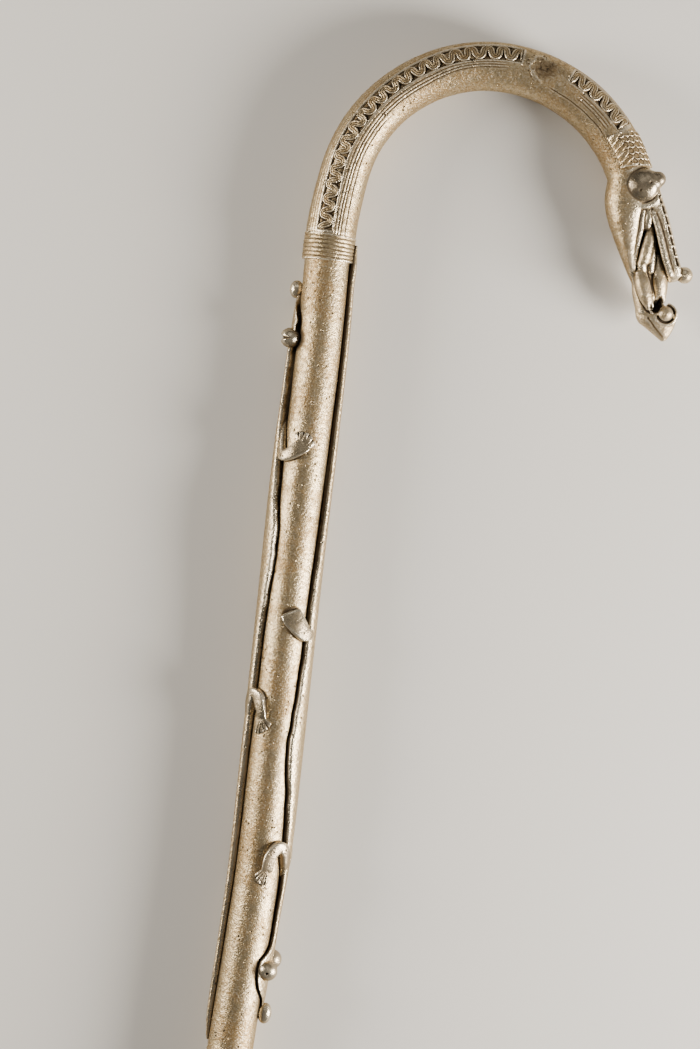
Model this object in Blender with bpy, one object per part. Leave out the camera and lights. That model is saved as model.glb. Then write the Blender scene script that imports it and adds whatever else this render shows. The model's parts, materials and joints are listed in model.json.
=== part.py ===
"""A cast crook staff lying on its side: a shaft with two crocodiles in high relief, a ringed collar,
and a bent crook that ends in a crocodile's head holding a small animal in its jaws.

The staff lies in the XY plane. The shaft starts at its foot and runs along +Y, and the crook bends
round towards +X. Places on it are given along the middle line of the staff, and around it: 0 degrees
faces up (+Z), 90 degrees is the back, on the outside of the crook, and -90 degrees is the belly.
"""

import math

import bmesh
import bpy
from mathutils import Vector

# Middle line: straight runs and bends, as lengths in metres and turns in degrees towards +X
FOOT_RUN = 0.496
SLIGHT_BEND_RUN = 0.060
SLIGHT_BEND_TURN = -2.9
UPPER_RUN = 0.358
COLLAR_BEND_RUN = 0.062
COLLAR_BEND_TURN = 11.3
CROOK_RISE_RUN = 0.115
CROOK_RISE_TURN = 70.4
CROOK_FALL_RUN = 0.123
CROOK_FALL_TURN = 71.9
MIDDLE_LINE = [
    (FOOT_RUN, 0.0),
    (SLIGHT_BEND_RUN, SLIGHT_BEND_TURN),
    (UPPER_RUN, 0.0),
    (COLLAR_BEND_RUN, COLLAR_BEND_TURN),
    (CROOK_RISE_RUN, CROOK_RISE_TURN),
    (CROOK_FALL_RUN, CROOK_FALL_TURN),
]

# Shaft, and the relief that it lies on: what reaches lowest is cut off flat by a little
SHAFT_RADIUS = 0.0148
SHAFT_SIDES = 16
SHAFT_STATION = 0.120
LEG_RISE = 0.0038
FLAT_DEPTH = 0.0004
LYING_HEIGHT = SHAFT_RADIUS + LEG_RISE - FLAT_DEPTH

# Foot: a plain end band, then rings
FOOT_RADIUS = LYING_HEIGHT + FLAT_DEPTH
FOOT_BAND = 0.012
FOOT_RINGS = 3
FOOT_RING_PITCH = 0.0070
FOOT_EDGE = 0.0012

# Collar between the shaft and the crook
COLLAR_LENGTH = 0.018
COLLAR_RINGS = 6
COLLAR_RISE = 0.0021
COLLAR_GROOVE = 0.0008

# Crook tube: its length runs from the collar to the head
CROOK_RISE = 0.0016
CROOK_ARC_RISE = 0.0010
NECK_RADIUS = 0.0147
CROOK_STATION = 0.0150
COLLAR_AT = FOOT_RUN + SLIGHT_BEND_RUN + UPPER_RUN
CROOK_AT = COLLAR_AT + COLLAR_LENGTH
HEAD_AT = COLLAR_AT + COLLAR_BEND_RUN + CROOK_RISE_RUN + CROOK_FALL_RUN
CROOK_LENGTH = HEAD_AT - CROOK_AT

# Scales on the last of the crook, up to the eyes
SCALE_ROWS = 6
SCALE_ROW = 0.00383
SCALE_RISE = 0.0007
SCALE_ANGLE = -13.0
SCALE_NOTCH = 0.36
SCALE_INTO_HEAD = 0.003
SCALE_START = CROOK_LENGTH + SCALE_INTO_HEAD - SCALE_ROWS * SCALE_ROW

# Sunk band along each face of the crook, in two stretches, with a flawed patch between them
BAND_DEPTH = 0.0012
BAND_LIP = 0.0006
BAND_START = 0.0012
FLAWED_LENGTH = 0.032
SECOND_BAND_LENGTH = 0.0425
SECOND_BAND_STOP = SCALE_START - 0.0015
SECOND_BAND_START = SECOND_BAND_STOP - SECOND_BAND_LENGTH
BAND_STOP = SECOND_BAND_START - FLAWED_LENGTH

# Rows of (share of the crook, the band's middle angle, its width, angle of the outermost belly line)
BAND_SHAPE = [
    (0.00, 15.0, 0.0106, -34.0),
    (0.18, 21.2, 0.0104, -31.0),
    (0.36, 22.2, 0.0105, -28.0),
    (0.53, 30.8, 0.0118, -22.0),
    (0.66, 35.5, 0.0122, -20.0),
    (0.77, 39.0, 0.0120, -19.0),
    (1.00, 39.0, 0.0120, -19.0),
]

# Lines cut along both edges of the band
LINE_DEPTH = 0.0006
BELLY_LINES = 3
BACK_LINES = 2
BACK_LINES_ANGLE = 84.0

# Wave that runs along the band
WAVE_PITCH = 0.0099
WAVE_WIDTH = 0.0034
WAVE_RISE = 0.0002
WAVE_ROOT = 0.0012
WAVE_EDGE_GAP = 0.0012
WAVE_END_GAP = 0.0022
WAVE_FLAT_SHARE = 0.18

# Casting flaw between the two stretches of the band
FLAW_AT = BAND_STOP + 0.41 * FLAWED_LENGTH
FLAW_ANGLE = 16.0
FLAW_RADIUS = 0.0078
FLAW_DEPTH = 0.0018
FLAW_RIM = 0.0012

# Head: it is laid out in parts, of which the neck's radius has 14.7
HEAD_TURN = 8.7
HEAD_PART = NECK_RADIUS / 14.7
EYE_REACH = (LYING_HEIGHT + FLAT_DEPTH) / HEAD_PART
EYE_AT = (15.0, 7.2)
EYE_RADIUS = 10.7
EYE_HEIGHT = 6.4
KNOB_AT = (13.2, 17.4)
KNOB_RADIUS = 5.0
LID_RADIUS = 12.4
LID_ASIDE = 12.4
LID_SIZE = 1.7
NOSTRIL_AT = (76.6, 22.6)
NOSTRIL_RADIUS = 5.2
LIP_SIZE = 1.7
SNOUT_SLOTS = 7
SNOUT_SLOT_START = 27.0
SNOUT_SLOT_PITCH = 6.7
SNOUT_SLOT_LENGTH = 4.2
SNOUT_SLOT_TOP = 1.2
SNOUT_SLOT_FOOT = 2.6

# The small animal in the jaws, in head parts
PREY_EYE_AT = (98.4, 5.4, 5.0)
PREY_EYE_RADIUS = 5.1
PREY_BROW_RADIUS = 7.0
PREY_BROW_SIZE = 1.4
PREY_HOLLOW_AT = (91.6, 1.4, 7.6)
PREY_HOLLOW_RADIUS = 3.0

# Crocodiles on the shaft: each is laid out from the tip of its snout, and hangs from the collar
CROC_LENGTH = 0.488
CROC_RISE = 0.0053
UPPER_CROC_SNOUT = 0.0194
UPPER_CROC_ANGLE = 89.0
LOWER_CROC_SNOUT = 0.485
LOWER_CROC_ANGLE = -82.0
CROC_EYE_RADIUS = 0.0063
CROC_EYE_SPREAD = 27.0
CROC_EYE_SHARE = 0.066
CROC_NOSTRIL_RADIUS = 0.0046
CROC_BALL_LIFT = 0.75
CROC_NECK_SHARE = (0.03, 0.16)
UPPER_CROC_TWIST = 14.0
LOWER_CROC_TWIST = 2.0

# How deep a relief's root sits in what carries it
ROOT = 0.0030

# Block under the floor that cuts the flat spots
FLOOR_BLOCK = (1.0, 3.0, 0.05)

METAL = (0.47, 0.40, 0.27, 1.0)


def middle_line(along):
    """Place in the plane, and heading in radians from +Y towards +X, at a distance from the foot.

    Past the last bend it runs straight on.
    """
    x = 0.0
    y = 0.0
    heading = 0.0
    left = along
    for length, turn in MIDDLE_LINE:
        run = min(left, length)
        angle = math.radians(turn) * run / length
        chord = run if abs(angle) < 1e-9 else 2.0 * run / angle * math.sin(angle / 2.0)
        x += chord * math.sin(heading + angle / 2.0)
        y += chord * math.cos(heading + angle / 2.0)
        heading += angle
        left -= run
    x += left * math.sin(heading)
    y += left * math.cos(heading)
    return x, y, heading


def on_staff(along, around, reach):
    """A point at a distance along the staff, an angle around it and a reach from its middle line."""
    x, y, heading = middle_line(along)
    out = reach * math.sin(math.radians(around))
    up = reach * math.cos(math.radians(around))
    return Vector((x - out * math.cos(heading), y + out * math.sin(heading), LYING_HEIGHT + up))


def on_head(forward, out, side=0.0):
    """A point on the head, in head parts: forward to the snout, out towards the back, and aside (+Z)."""
    x, y, heading = middle_line(HEAD_AT)
    heading += math.radians(HEAD_TURN)
    ahead = forward * HEAD_PART
    off = out * HEAD_PART
    return Vector(
        (
            x + ahead * math.sin(heading) - off * math.cos(heading),
            y + ahead * math.cos(heading) + off * math.sin(heading),
            LYING_HEIGHT + side * HEAD_PART,
        )
    )


def smooth_step(value, low, high):
    """0 below low, 1 above high, and a smooth rise between them."""
    share = min(1.0, max(0.0, (value - low) / (high - low)))
    return share * share * (3.0 - 2.0 * share)


def read_table(place, rows):
    """Straight-line reading of rows of (place, size, ...), held flat beyond both ends."""
    if place <= rows[0][0]:
        return rows[0][1:]
    for low, high in zip(rows, rows[1:]):
        if place <= high[0]:
            share = (place - low[0]) / (high[0] - low[0])
            return tuple(a + (b - a) * share for a, b in zip(low[1:], high[1:]))
    return rows[-1][1:]


def steps(low, high, pitch):
    """Even places from low to high, about a pitch apart."""
    count = max(1, round((high - low) / pitch))
    return [low + (high - low) * i / count for i in range(count + 1)]


def skin(rings):
    """A closed body through rings with the same number of points, with a flat cap at each end."""
    body = bmesh.new()
    rows = [[body.verts.new(point) for point in ring] for ring in rings]
    count = len(rows[0])
    for low, high in zip(rows, rows[1:]):
        for i in range(count):
            j = (i + 1) % count
            body.faces.new((low[i], low[j], high[j], high[i]))
    body.faces.new(reversed(rows[0]))
    body.faces.new(rows[-1])
    bmesh.ops.recalc_face_normals(body, faces=body.faces)
    return body


def tube(points, radii, sides=8, flatness=1.0):
    """A round-ended tube through points, with its own radius at each; flatness squeezes it in Z."""
    ahead = [(b - a).normalized() for a, b in zip(points, points[1:])]
    ahead = [ahead[0]] + [(a + b).normalized() for a, b in zip(ahead, ahead[1:])] + [ahead[-1]]
    stops = [(points[0] - ahead[0] * radii[0] * 0.75, radii[0] * 0.6, ahead[0])]
    stops += list(zip(points, radii, ahead))
    stops.append((points[-1] + ahead[-1] * radii[-1] * 0.75, radii[-1] * 0.6, ahead[-1]))
    rings = []
    side = ahead[0].cross(Vector((0.0, 0.0, 1.0)))
    for centre, radius, forward in stops:
        side = (side - forward * side.dot(forward)).normalized()
        up = side.cross(forward)
        ring = []
        for i in range(sides):
            turn = 2.0 * math.pi * (i + 0.5) / sides
            offset = side * math.cos(turn) * radius + up * math.sin(turn) * radius
            ring.append(centre + Vector((offset.x, offset.y, offset.z * flatness)))
        rings.append(ring)
    return skin(rings)


def ball(centre, radii, columns=8, rows=5):
    """A ball of meridians and rows, with its own radius in X, Y and Z."""
    body = bmesh.new()
    bmesh.ops.create_uvsphere(body, u_segments=columns, v_segments=rows, radius=1.0)
    bmesh.ops.scale(body, vec=radii, verts=body.verts)
    bmesh.ops.translate(body, vec=centre, verts=body.verts)
    return body


def carried(path, profiles):
    """A closed body whose profile of (across, reach) pairs is carried square along a path.

    The path is a list of (along, around) places on the staff, with one profile for each.
    """
    rings = []
    for i, ((along, around), profile) in enumerate(zip(path, profiles)):
        before = path[max(i - 1, 0)]
        after = path[min(i + 1, len(path) - 1)]
        step_along = after[0] - before[0]
        step_round = math.radians(after[1] - before[1]) * SHAFT_RADIUS
        size = math.hypot(step_along, step_round)
        ring = []
        for across, reach in profile:
            place = along - across * step_round / size
            angle = around + math.degrees(across * step_along / size / SHAFT_RADIUS)
            ring.append(on_staff(place, angle, reach))
        rings.append(ring)
    return skin(rings)


def ridge(half_width, rise, base):
    """Profile of a relief: a rounded ridge on a base radius, with its root sunk below that."""
    return [
        (-half_width, base - ROOT),
        (-half_width, base + 0.40 * rise),
        (-0.45 * half_width, base + rise),
        (0.45 * half_width, base + rise),
        (half_width, base + 0.40 * rise),
        (half_width, base - ROOT),
    ]


# Shaft, foot and collar


def shaft_profile():
    """Rows of (along, radius) from the foot end to the top of the collar."""
    rows = [(0.0, FOOT_RADIUS - FOOT_EDGE), (FOOT_EDGE, FOOT_RADIUS), (FOOT_BAND, FOOT_RADIUS)]
    for i in range(FOOT_RINGS):
        start = FOOT_BAND + i * FOOT_RING_PITCH
        crest = FOOT_RADIUS - (FOOT_RADIUS - SHAFT_RADIUS) * (i + 1) / (FOOT_RINGS + 1)
        rows.append((start + 0.15 * FOOT_RING_PITCH, crest - FOOT_EDGE))
        rows.append((start + 0.40 * FOOT_RING_PITCH, crest))
        rows.append((start + 0.85 * FOOT_RING_PITCH, crest))
    plain_start = FOOT_BAND + (FOOT_RINGS + 0.2) * FOOT_RING_PITCH
    rows += [(place, SHAFT_RADIUS) for place in steps(plain_start, FOOT_RUN, SHAFT_STATION)]
    bend_stop = FOOT_RUN + SLIGHT_BEND_RUN
    rows += [(place, SHAFT_RADIUS) for place in steps(FOOT_RUN, bend_stop, SLIGHT_BEND_RUN / 3)[1:]]
    rows += [(place, SHAFT_RADIUS) for place in steps(bend_stop, COLLAR_AT, SHAFT_STATION)[1:]]
    crest = SHAFT_RADIUS + COLLAR_RISE
    pitch = COLLAR_LENGTH / COLLAR_RINGS
    for i in range(COLLAR_RINGS):
        start = COLLAR_AT + i * pitch
        rows.append((start + 0.12 * pitch, crest - COLLAR_GROOVE))
        rows.append((start + 0.52 * pitch, crest))
    rows.append((CROOK_AT, crest - COLLAR_GROOVE))
    return rows


def shaft_body():
    """The turned profile of foot, shaft and collar, set square along the middle line."""
    rings = []
    for along, radius in shaft_profile():
        turns = [360.0 * (i + 0.5) / SHAFT_SIDES for i in range(SHAFT_SIDES)]
        rings.append([on_staff(along, turn, radius) for turn in turns])
    return skin(rings)


# Crook tube with its bands, lines and scales


def crook_radius(past):
    """The tube's radius at a distance past the collar."""
    end = HEAD_AT - CROOK_AT
    rows = [
        (0.0, SHAFT_RADIUS + CROOK_RISE),
        (0.25 * end, SHAFT_RADIUS + CROOK_ARC_RISE),
        (0.75 * end, SHAFT_RADIUS + CROOK_ARC_RISE),
        (end, NECK_RADIUS),
    ]
    return read_table(past, rows)[0]


def band(past):
    """The band's middle angle, half its width in degrees, and its depth, at a distance from the collar."""
    angle, width, _ = read_table(past / CROOK_LENGTH, BAND_SHAPE)
    in_first = BAND_START <= past <= BAND_STOP
    in_second = SECOND_BAND_START <= past <= SECOND_BAND_STOP
    depth = BAND_DEPTH if in_first or in_second else 0.0
    return angle, math.degrees(width / 2.0 / crook_radius(past)), depth


def face_columns(past):
    """Rows of (angle, drop below the tube's surface) over one face, from the belly to the back."""
    middle, half, depth = band(past)
    first = BAND_START <= past <= BAND_STOP
    second = SECOND_BAND_START <= past <= SECOND_BAND_STOP
    lines_from = read_table(past / CROOK_LENGTH, BAND_SHAPE)[2]
    belly_drop = LINE_DEPTH if first or second else 0.0
    back_drop = LINE_DEPTH if first else 0.0
    columns = [((lines_from - 90.0) / 2.0, 0.0)]
    for i in range(2 * BELLY_LINES + 1):
        share = i / (2 * BELLY_LINES)
        angle = lines_from + (middle - half - lines_from) * share
        columns.append((angle, belly_drop if i % 2 else 0.0))
    columns += [(middle + share * half, depth) for share in (-0.9, 0.0, 0.9)]
    for i in range(2 * BACK_LINES + 1):
        share = i / (2 * BACK_LINES)
        angle = middle + half + (BACK_LINES_ANGLE - middle - half) * share
        columns.append((angle, back_drop if i % 2 else 0.0))
    return columns


def scale_stations(count):
    """Rows of scales, each over the next: a sunk line, then a raised edge, both notched in turn."""
    columns = [SCALE_ANGLE + (90.0 - SCALE_ANGLE) * i / (count - 1) for i in range(count - 1)]
    stations = []
    for row in range(SCALE_ROWS):
        for share, drop in ((0.06, 0.0), (0.94, -SCALE_RISE)):
            points = [((SCALE_ANGLE - 90.0) / 2.0, 0.0, 0.0)]
            for i, angle in enumerate(columns):
                turn = 1 if share > 0.5 else 0
                notch = SCALE_NOTCH * SCALE_ROW * (1.0 if (i + row + turn) % 2 else -1.0)
                points.append((angle, drop, notch if 0 < row + turn < SCALE_ROWS else 0.0))
            stations.append((SCALE_START + (row + share) * SCALE_ROW, points))
    return stations


def crook_body():
    """The bent tube, from inside the collar to inside the head."""
    places = steps(BAND_START + BAND_LIP, BAND_STOP, CROOK_STATION)
    places += steps(BAND_STOP + BAND_LIP, SECOND_BAND_START - BAND_LIP, CROOK_STATION)
    places += steps(SECOND_BAND_START, SECOND_BAND_STOP, CROOK_STATION)
    places.append(BAND_START - BAND_LIP)
    places.append(SECOND_BAND_STOP + BAND_LIP)
    stations = []
    for place in sorted(places):
        stations.append((place, [(angle, drop, 0.0) for angle, drop in face_columns(place)]))
    stations.insert(0, (-ROOT, stations[0][1]))
    stations += scale_stations(len(stations[0][1]))
    rings = []
    for past, columns in stations:
        at = CROOK_AT + past
        radius = crook_radius(past) - (ROOT if past < 0.0 else 0.0)
        ring = [on_staff(at, -90.0, radius)]
        ring += [on_staff(at + notch, angle, radius - drop) for angle, drop, notch in columns]
        ring.append(on_staff(at, 90.0, radius))
        for angle, drop, notch in reversed(columns):
            ring.append(on_staff(at + notch, 180.0 - angle, radius - drop))
        rings.append(ring)
    return skin(rings)


def wave_body(start, stop):
    """The raised wave along one stretch of the upper face's band: a ribbon that bends at each edge."""
    count = round((stop - start) / WAVE_PITCH)
    path = []
    profiles = []
    for i in range(4 * count):
        quarter = i % 4
        flat = WAVE_FLAT_SHARE if quarter in (0, 2) else -WAVE_FLAT_SHARE
        past = start + (stop - start) * (i + 0.5 - 0.5 * flat) / (4 * count)
        middle, half, _ = band(past)
        radius = crook_radius(past)
        swing = half - math.degrees((WAVE_EDGE_GAP + WAVE_WIDTH / 2.0) / radius)
        around = middle + (swing if quarter in (0, 1) else -swing)
        path.append((CROOK_AT + past, around))
        low = radius - BAND_DEPTH - WAVE_ROOT
        high = radius + WAVE_RISE
        edge = WAVE_WIDTH / 2.0
        profiles.append([(-edge, low), (-0.7 * edge, high), (0.7 * edge, high), (edge, low)])
    return carried(path, profiles)


def flaw_rim():
    """The rough raised edge of the casting flaw, as an arc of a ring."""
    points = []
    radii = []
    for i in range(7):
        turn = math.radians(100.0 + 26.0 * i)
        past = FLAW_AT + FLAW_RADIUS * math.cos(turn)
        angle = FLAW_ANGLE + math.degrees(FLAW_RADIUS * math.sin(turn) / crook_radius(past))
        points.append(on_staff(CROOK_AT + past, angle, crook_radius(past) - 0.3 * FLAW_RIM))
        radii.append(FLAW_RIM * (1.0 - 0.35 * (i % 2)))
    return tube(points, radii, sides=6)


def flaw_cut():
    """The hollow of the casting flaw."""
    past = FLAW_AT
    dome = FLAW_RADIUS * 1.6
    centre = on_staff(CROOK_AT + past, FLAW_ANGLE, crook_radius(past) + dome - FLAW_DEPTH)
    return ball(centre, (dome, dome, dome), columns=12, rows=8)


# Head: each jaw in rows of (forward, low, high, half width) in head parts


def head_loft(rows, sides, power):
    """A body of ovals across the head, from rows of (forward, low, high, half width)."""
    rings = []
    for forward, low, high, half_width in rows:
        ring = []
        for i in range(sides):
            turn = 2.0 * math.pi * (i + 0.5) / sides
            lift = math.copysign(abs(math.cos(turn)) ** (2.0 / power), math.cos(turn))
            side = math.copysign(abs(math.sin(turn)) ** (2.0 / power), math.sin(turn))
            ring.append(on_head(forward, (low + high) / 2.0 + lift * (high - low) / 2.0, side * half_width))
        rings.append(ring)
    return skin(rings)


def head_tube(rows, side, sides, flatness=1.0):
    """A tube on the head, from rows of (forward, out, aside, radius)."""
    points = [on_head(forward, out, side * aside) for forward, out, aside, _ in rows]
    return tube(points, [radius * HEAD_PART for _, _, _, radius in rows], sides, flatness)


def head_ball(forward, out, aside, radius, flatness=1.0):
    """A ball on the head, flattened in Z."""
    size = radius * HEAD_PART
    return ball(on_head(forward, out, aside), (size, size, size * flatness))


def head_arc(centre, radius, aside, turns, size):
    """Rows for a tube that bends round a centre, between two turns in degrees from forward to out."""
    rows = []
    for i in range(7):
        turn = math.radians(turns[0] + (turns[1] - turns[0]) * i / 6.0)
        rows.append((centre[0] + radius * math.cos(turn), centre[1] + radius * math.sin(turn), aside, size))
    return rows


LOWER_JAW = [
    (-6.0, -12.5, 12.5, 12.5),
    (3.0, -14.6, 14.7, 14.7),
    (9.0, -15.2, 15.0, 14.9),
    (14.0, -17.6, 16.0, 15.0),
    (20.0, -18.8, 16.0, 15.0),
    (27.0, -19.0, 13.0, 14.4),
    (34.0, -18.8, 5.6, 13.4),
    (41.0, -17.9, 2.4, 12.2),
    (50.0, -16.6, -1.4, 10.8),
    (58.0, -15.2, -4.6, 9.3),
    (66.0, -13.8, -7.0, 7.6),
    (73.0, -12.3, -8.4, 6.0),
    (79.0, -11.0, -9.0, 3.6),
]

UPPER_JAW = [
    (8.0, 1.0, 13.0, 11.0),
    (18.0, 3.0, 17.6, 13.0),
    (27.0, 5.0, 18.6, 12.8),
    (35.3, 8.7, 18.9, 11.4),
    (44.0, 9.0, 19.3, 10.2),
    (53.0, 9.2, 19.9, 9.3),
    (62.0, 9.4, 20.7, 8.5),
    (70.0, 10.6, 21.4, 7.7),
    (76.0, 11.2, 21.4, 6.4),
    (79.4, 11.8, 17.0, 4.0),
]


# Lips in rows of (forward, out, aside, radius)
UPPER_LIP = [
    (33.0, 9.3, 10.4, LIP_SIZE),
    (48.0, 9.8, 9.3, LIP_SIZE),
    (62.0, 10.4, 8.0, LIP_SIZE),
    (75.0, 11.6, 6.0, LIP_SIZE),
]
LOWER_LIP = [
    (32.0, 5.2, 11.6, LIP_SIZE),
    (41.0, 2.2, 10.9, LIP_SIZE),
    (52.0, -2.4, 9.4, LIP_SIZE),
    (68.0, -7.9, 6.4, LIP_SIZE),
]


def head_bodies():
    """Skull, jaws, lips, eyes with a knob on each, eyelids and the ball on the snout."""
    bodies = [head_loft(LOWER_JAW, 16, 2.3), head_loft(UPPER_JAW, 14, 2.6)]
    bodies.append(head_ball(*NOSTRIL_AT, 0.0, NOSTRIL_RADIUS))
    flatness = EYE_HEIGHT / EYE_RADIUS
    aside = EYE_REACH - EYE_HEIGHT
    for side in (1.0, -1.0):
        size = EYE_RADIUS * HEAD_PART
        centre = on_head(*EYE_AT, side * aside)
        bodies.append(ball(centre, (size, size, size * flatness), columns=12, rows=6))
        neck = [(*EYE_AT, aside, 0.85 * EYE_RADIUS), (*KNOB_AT, aside, 1.2 * KNOB_RADIUS)]
        bodies.append(head_tube(neck, side, 8, flatness))
        bodies.append(head_ball(*KNOB_AT, side * aside, KNOB_RADIUS))
        lid = head_arc(EYE_AT, LID_RADIUS, LID_ASIDE, (-150.0, 40.0), LID_SIZE)
        for rows in (lid, UPPER_LIP, LOWER_LIP):
            bodies.append(head_tube(rows, side, 6))
    return bodies


def snout_slot_cuts():
    """The row of small slots along each upper edge of the snout."""
    cuts = []
    for i in range(SNOUT_SLOTS):
        start = SNOUT_SLOT_START + SNOUT_SLOT_PITCH * i
        _, high, half_width = read_table(start, UPPER_JAW)
        foot = high - SNOUT_SLOT_FOOT
        top = high - SNOUT_SLOT_TOP
        inner = 0.62 * half_width
        outer = 1.2 * half_width
        for side in (1.0, -1.0):
            rings = []
            for end in (start, start + SNOUT_SLOT_LENGTH):
                corners = [(foot, inner), (top, inner), (top, outer), (foot, outer)]
                rings.append([on_head(end, out, side * aside) for out, aside in corners])
            cuts.append(skin(rings))
    return cuts


# The small animal: its skull in rows as the jaws, its limbs and trunk in rows as the lips
PREY_SKULL = [
    (86.0, -11.0, -1.0, 4.0),
    (92.0, -12.8, 5.0, 5.6),
    (98.0, -13.2, 10.0, 6.6),
    (104.0, -10.0, 10.2, 6.2),
    (109.0, -5.6, 7.6, 5.0),
    (113.0, -2.4, 4.6, 3.2),
    (115.0, -0.8, 2.4, 1.4),
]


PREY_LIMBS = [
    [(42.0, 6.4, 4.6, 2.0), (50.0, 3.6, 6.6, 3.2), (60.0, -0.8, 6.4, 3.9), (69.0, -4.0, 4.6, 3.6)],
    [(45.0, 9.0, 3.8, 2.0), (57.0, 6.6, 6.0, 2.8), (67.0, 1.0, 6.0, 2.6)],
    [(71.5, -5.2, 4.6, 3.8), (79.0, -5.8, 6.4, 4.9), (89.0, -4.4, 6.6, 3.4), (95.0, -3.6, 6.4, 1.9)],
]
PREY_RUMP = [
    (64.0, 7.4, 0.0, 3.8),
    (76.0, 5.4, 0.0, 5.7),
    (88.0, 3.6, 0.0, 4.2),
]
PREY_CHEST = [
    (74.0, -7.2, 0.0, 4.4),
    (86.0, -7.6, 0.0, 5.0),
    (94.0, -7.6, 0.0, 5.2),
]


def prey_bodies():
    """The small animal held in the jaws: hind legs, rump, arms, and a head that hangs out."""
    bodies = [head_loft(PREY_SKULL, 10, 2.2)]
    bodies += [head_tube(rows, 1.0, 10, 1.2) for rows in (PREY_RUMP, PREY_CHEST)]
    for side in (1.0, -1.0):
        forward, out, aside = PREY_EYE_AT
        bodies += [head_tube(rows, side, 7) for rows in PREY_LIMBS]
        bodies.append(head_ball(forward, out, side * aside, PREY_EYE_RADIUS))
        brow = head_arc((forward, out), PREY_BROW_RADIUS, aside, (130.0, -40.0), PREY_BROW_SIZE)
        bodies.append(head_tube(brow, side, 6))
    return bodies


def prey_cuts():
    """The deep hollow in front of each of the small animal's eyes."""
    forward, out, aside = PREY_HOLLOW_AT
    return [head_ball(forward, out, side * aside, PREY_HOLLOW_RADIUS) for side in (1.0, -1.0)]


# Crocodiles on the shaft, in rows of (share of the length, half width, share of the rise), from the snout

CROC_SHAPE = [
    (0.010, 0.0016, 0.42),
    (0.030, 0.0026, 0.42),
    (0.052, 0.0060, 0.52),
    (0.066, 0.0078, 0.66),
    (0.084, 0.0044, 0.80),
    (0.105, 0.0024, 0.92),
    (0.154, 0.0022, 1.00),
    (0.200, 0.0044, 1.00),
    (0.256, 0.0056, 1.00),
    (0.338, 0.0090, 1.00),
    (0.410, 0.0060, 1.00),
    (0.482, 0.0044, 1.00),
    (0.550, 0.0052, 1.00),
    (0.612, 0.0023, 1.00),
    (0.700, 0.0018, 0.98),
    (0.820, 0.0017, 0.84),
    (0.960, 0.0015, 0.55),
    (1.000, 0.0008, 0.30),
]

# Legs: an upper and a lower limb, each in rows of (distance from the snout, degrees towards the
# front, half width, share of the legs' rise)
UPPER_FORELEG = [
    [(0.0900, 16.0, 0.0024, 1.10), (0.1000, 25.0, 0.0026, 1.15), (0.1090, 30.0, 0.0024, 1.15)],
    [
        (0.1095, 26.0, 0.0022, 1.05),
        (0.1060, 44.0, 0.0032, 1.10),
        (0.0990, 74.0, 0.0034, 0.95),
        (0.0955, 92.0, 0.0052, 0.75),
    ],
]
UPPER_HIND_LEG = [
    [(0.2770, 12.0, 0.0030, 1.15), (0.2700, 24.0, 0.0032, 1.20), (0.2635, 36.0, 0.0028, 1.20)],
    [
        (0.2600, 38.0, 0.0026, 1.10),
        (0.2660, 48.0, 0.0044, 1.20),
        (0.2765, 57.0, 0.0026, 1.00),
        (0.2850, 68.0, 0.0046, 0.75),
    ],
]
LOWER_FORELEG = [
    [(0.0890, 14.0, 0.0024, 1.10), (0.0980, 23.0, 0.0027, 1.15), (0.1065, 32.0, 0.0026, 1.20)],
    [
        (0.1075, 34.0, 0.0026, 1.10),
        (0.1040, 52.0, 0.0034, 1.15),
        (0.0930, 64.0, 0.0034, 1.00),
        (0.0850, 72.0, 0.0052, 0.75),
    ],
]
LOWER_HIND_LEG = [
    [(0.2620, 14.0, 0.0024, 1.10), (0.2530, 20.0, 0.0026, 1.15), (0.2430, 25.0, 0.0026, 1.15)],
    [
        (0.2425, 23.0, 0.0026, 1.05),
        (0.2465, 42.0, 0.0032, 1.10),
        (0.2555, 64.0, 0.0036, 0.95),
        (0.2600, 82.0, 0.0054, 0.75),
    ],
]


def crocodile(snout_at, tailward, angle, head_twist, limbs):
    """One crocodile: body and tail as one ridge, four legs, two ball eyes and a ball on its snout.

    tailward is -1 where the tail points to the foot of the staff, and 1 where it points to the crook.
    """
    front = -1.0 if angle > 0.0 else 1.0

    def centre(share):
        return angle + head_twist * (1.0 - smooth_step(share, *CROC_NECK_SHARE))

    path = []
    profiles = []
    for share, half_width, rise in CROC_SHAPE:
        along = snout_at + tailward * share * CROC_LENGTH
        path.append((along, centre(share)))
        profiles.append(ridge(half_width, rise * CROC_RISE, SHAFT_RADIUS))
    bodies = [carried(path, profiles)]
    for limb in limbs:
        for mirror in (1.0, -1.0):
            side = mirror * front
            path = [(snout_at + tailward * place, angle + side * turn) for place, turn, _, _ in limb]
            profiles = [ridge(half, rise * LEG_RISE, SHAFT_RADIUS) for _, _, half, rise in limb]
            bodies.append(carried(path, profiles))
    eye_at = snout_at + tailward * CROC_EYE_SHARE * CROC_LENGTH
    eye = CROC_EYE_RADIUS
    for mirror in (1.0, -1.0):
        around = centre(CROC_EYE_SHARE) + mirror * CROC_EYE_SPREAD
        bodies.append(ball(on_staff(eye_at, around, SHAFT_RADIUS + CROC_BALL_LIFT * eye), (eye, eye, eye)))
    nostril = CROC_NOSTRIL_RADIUS
    tip = on_staff(snout_at, centre(0.0), SHAFT_RADIUS + CROC_BALL_LIFT * nostril)
    bodies.append(ball(tip, (nostril, nostril * 1.2, nostril)))
    return bodies


# Putting it together


def metal():
    """The pale cast metal."""
    material = bpy.data.materials.new("cast_metal")
    material.use_nodes = True
    shader = material.node_tree.nodes["Principled BSDF"]
    shader.inputs["Base Color"].default_value = METAL
    shader.inputs["Metallic"].default_value = 0.9
    shader.inputs["Roughness"].default_value = 0.45
    return material


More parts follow.
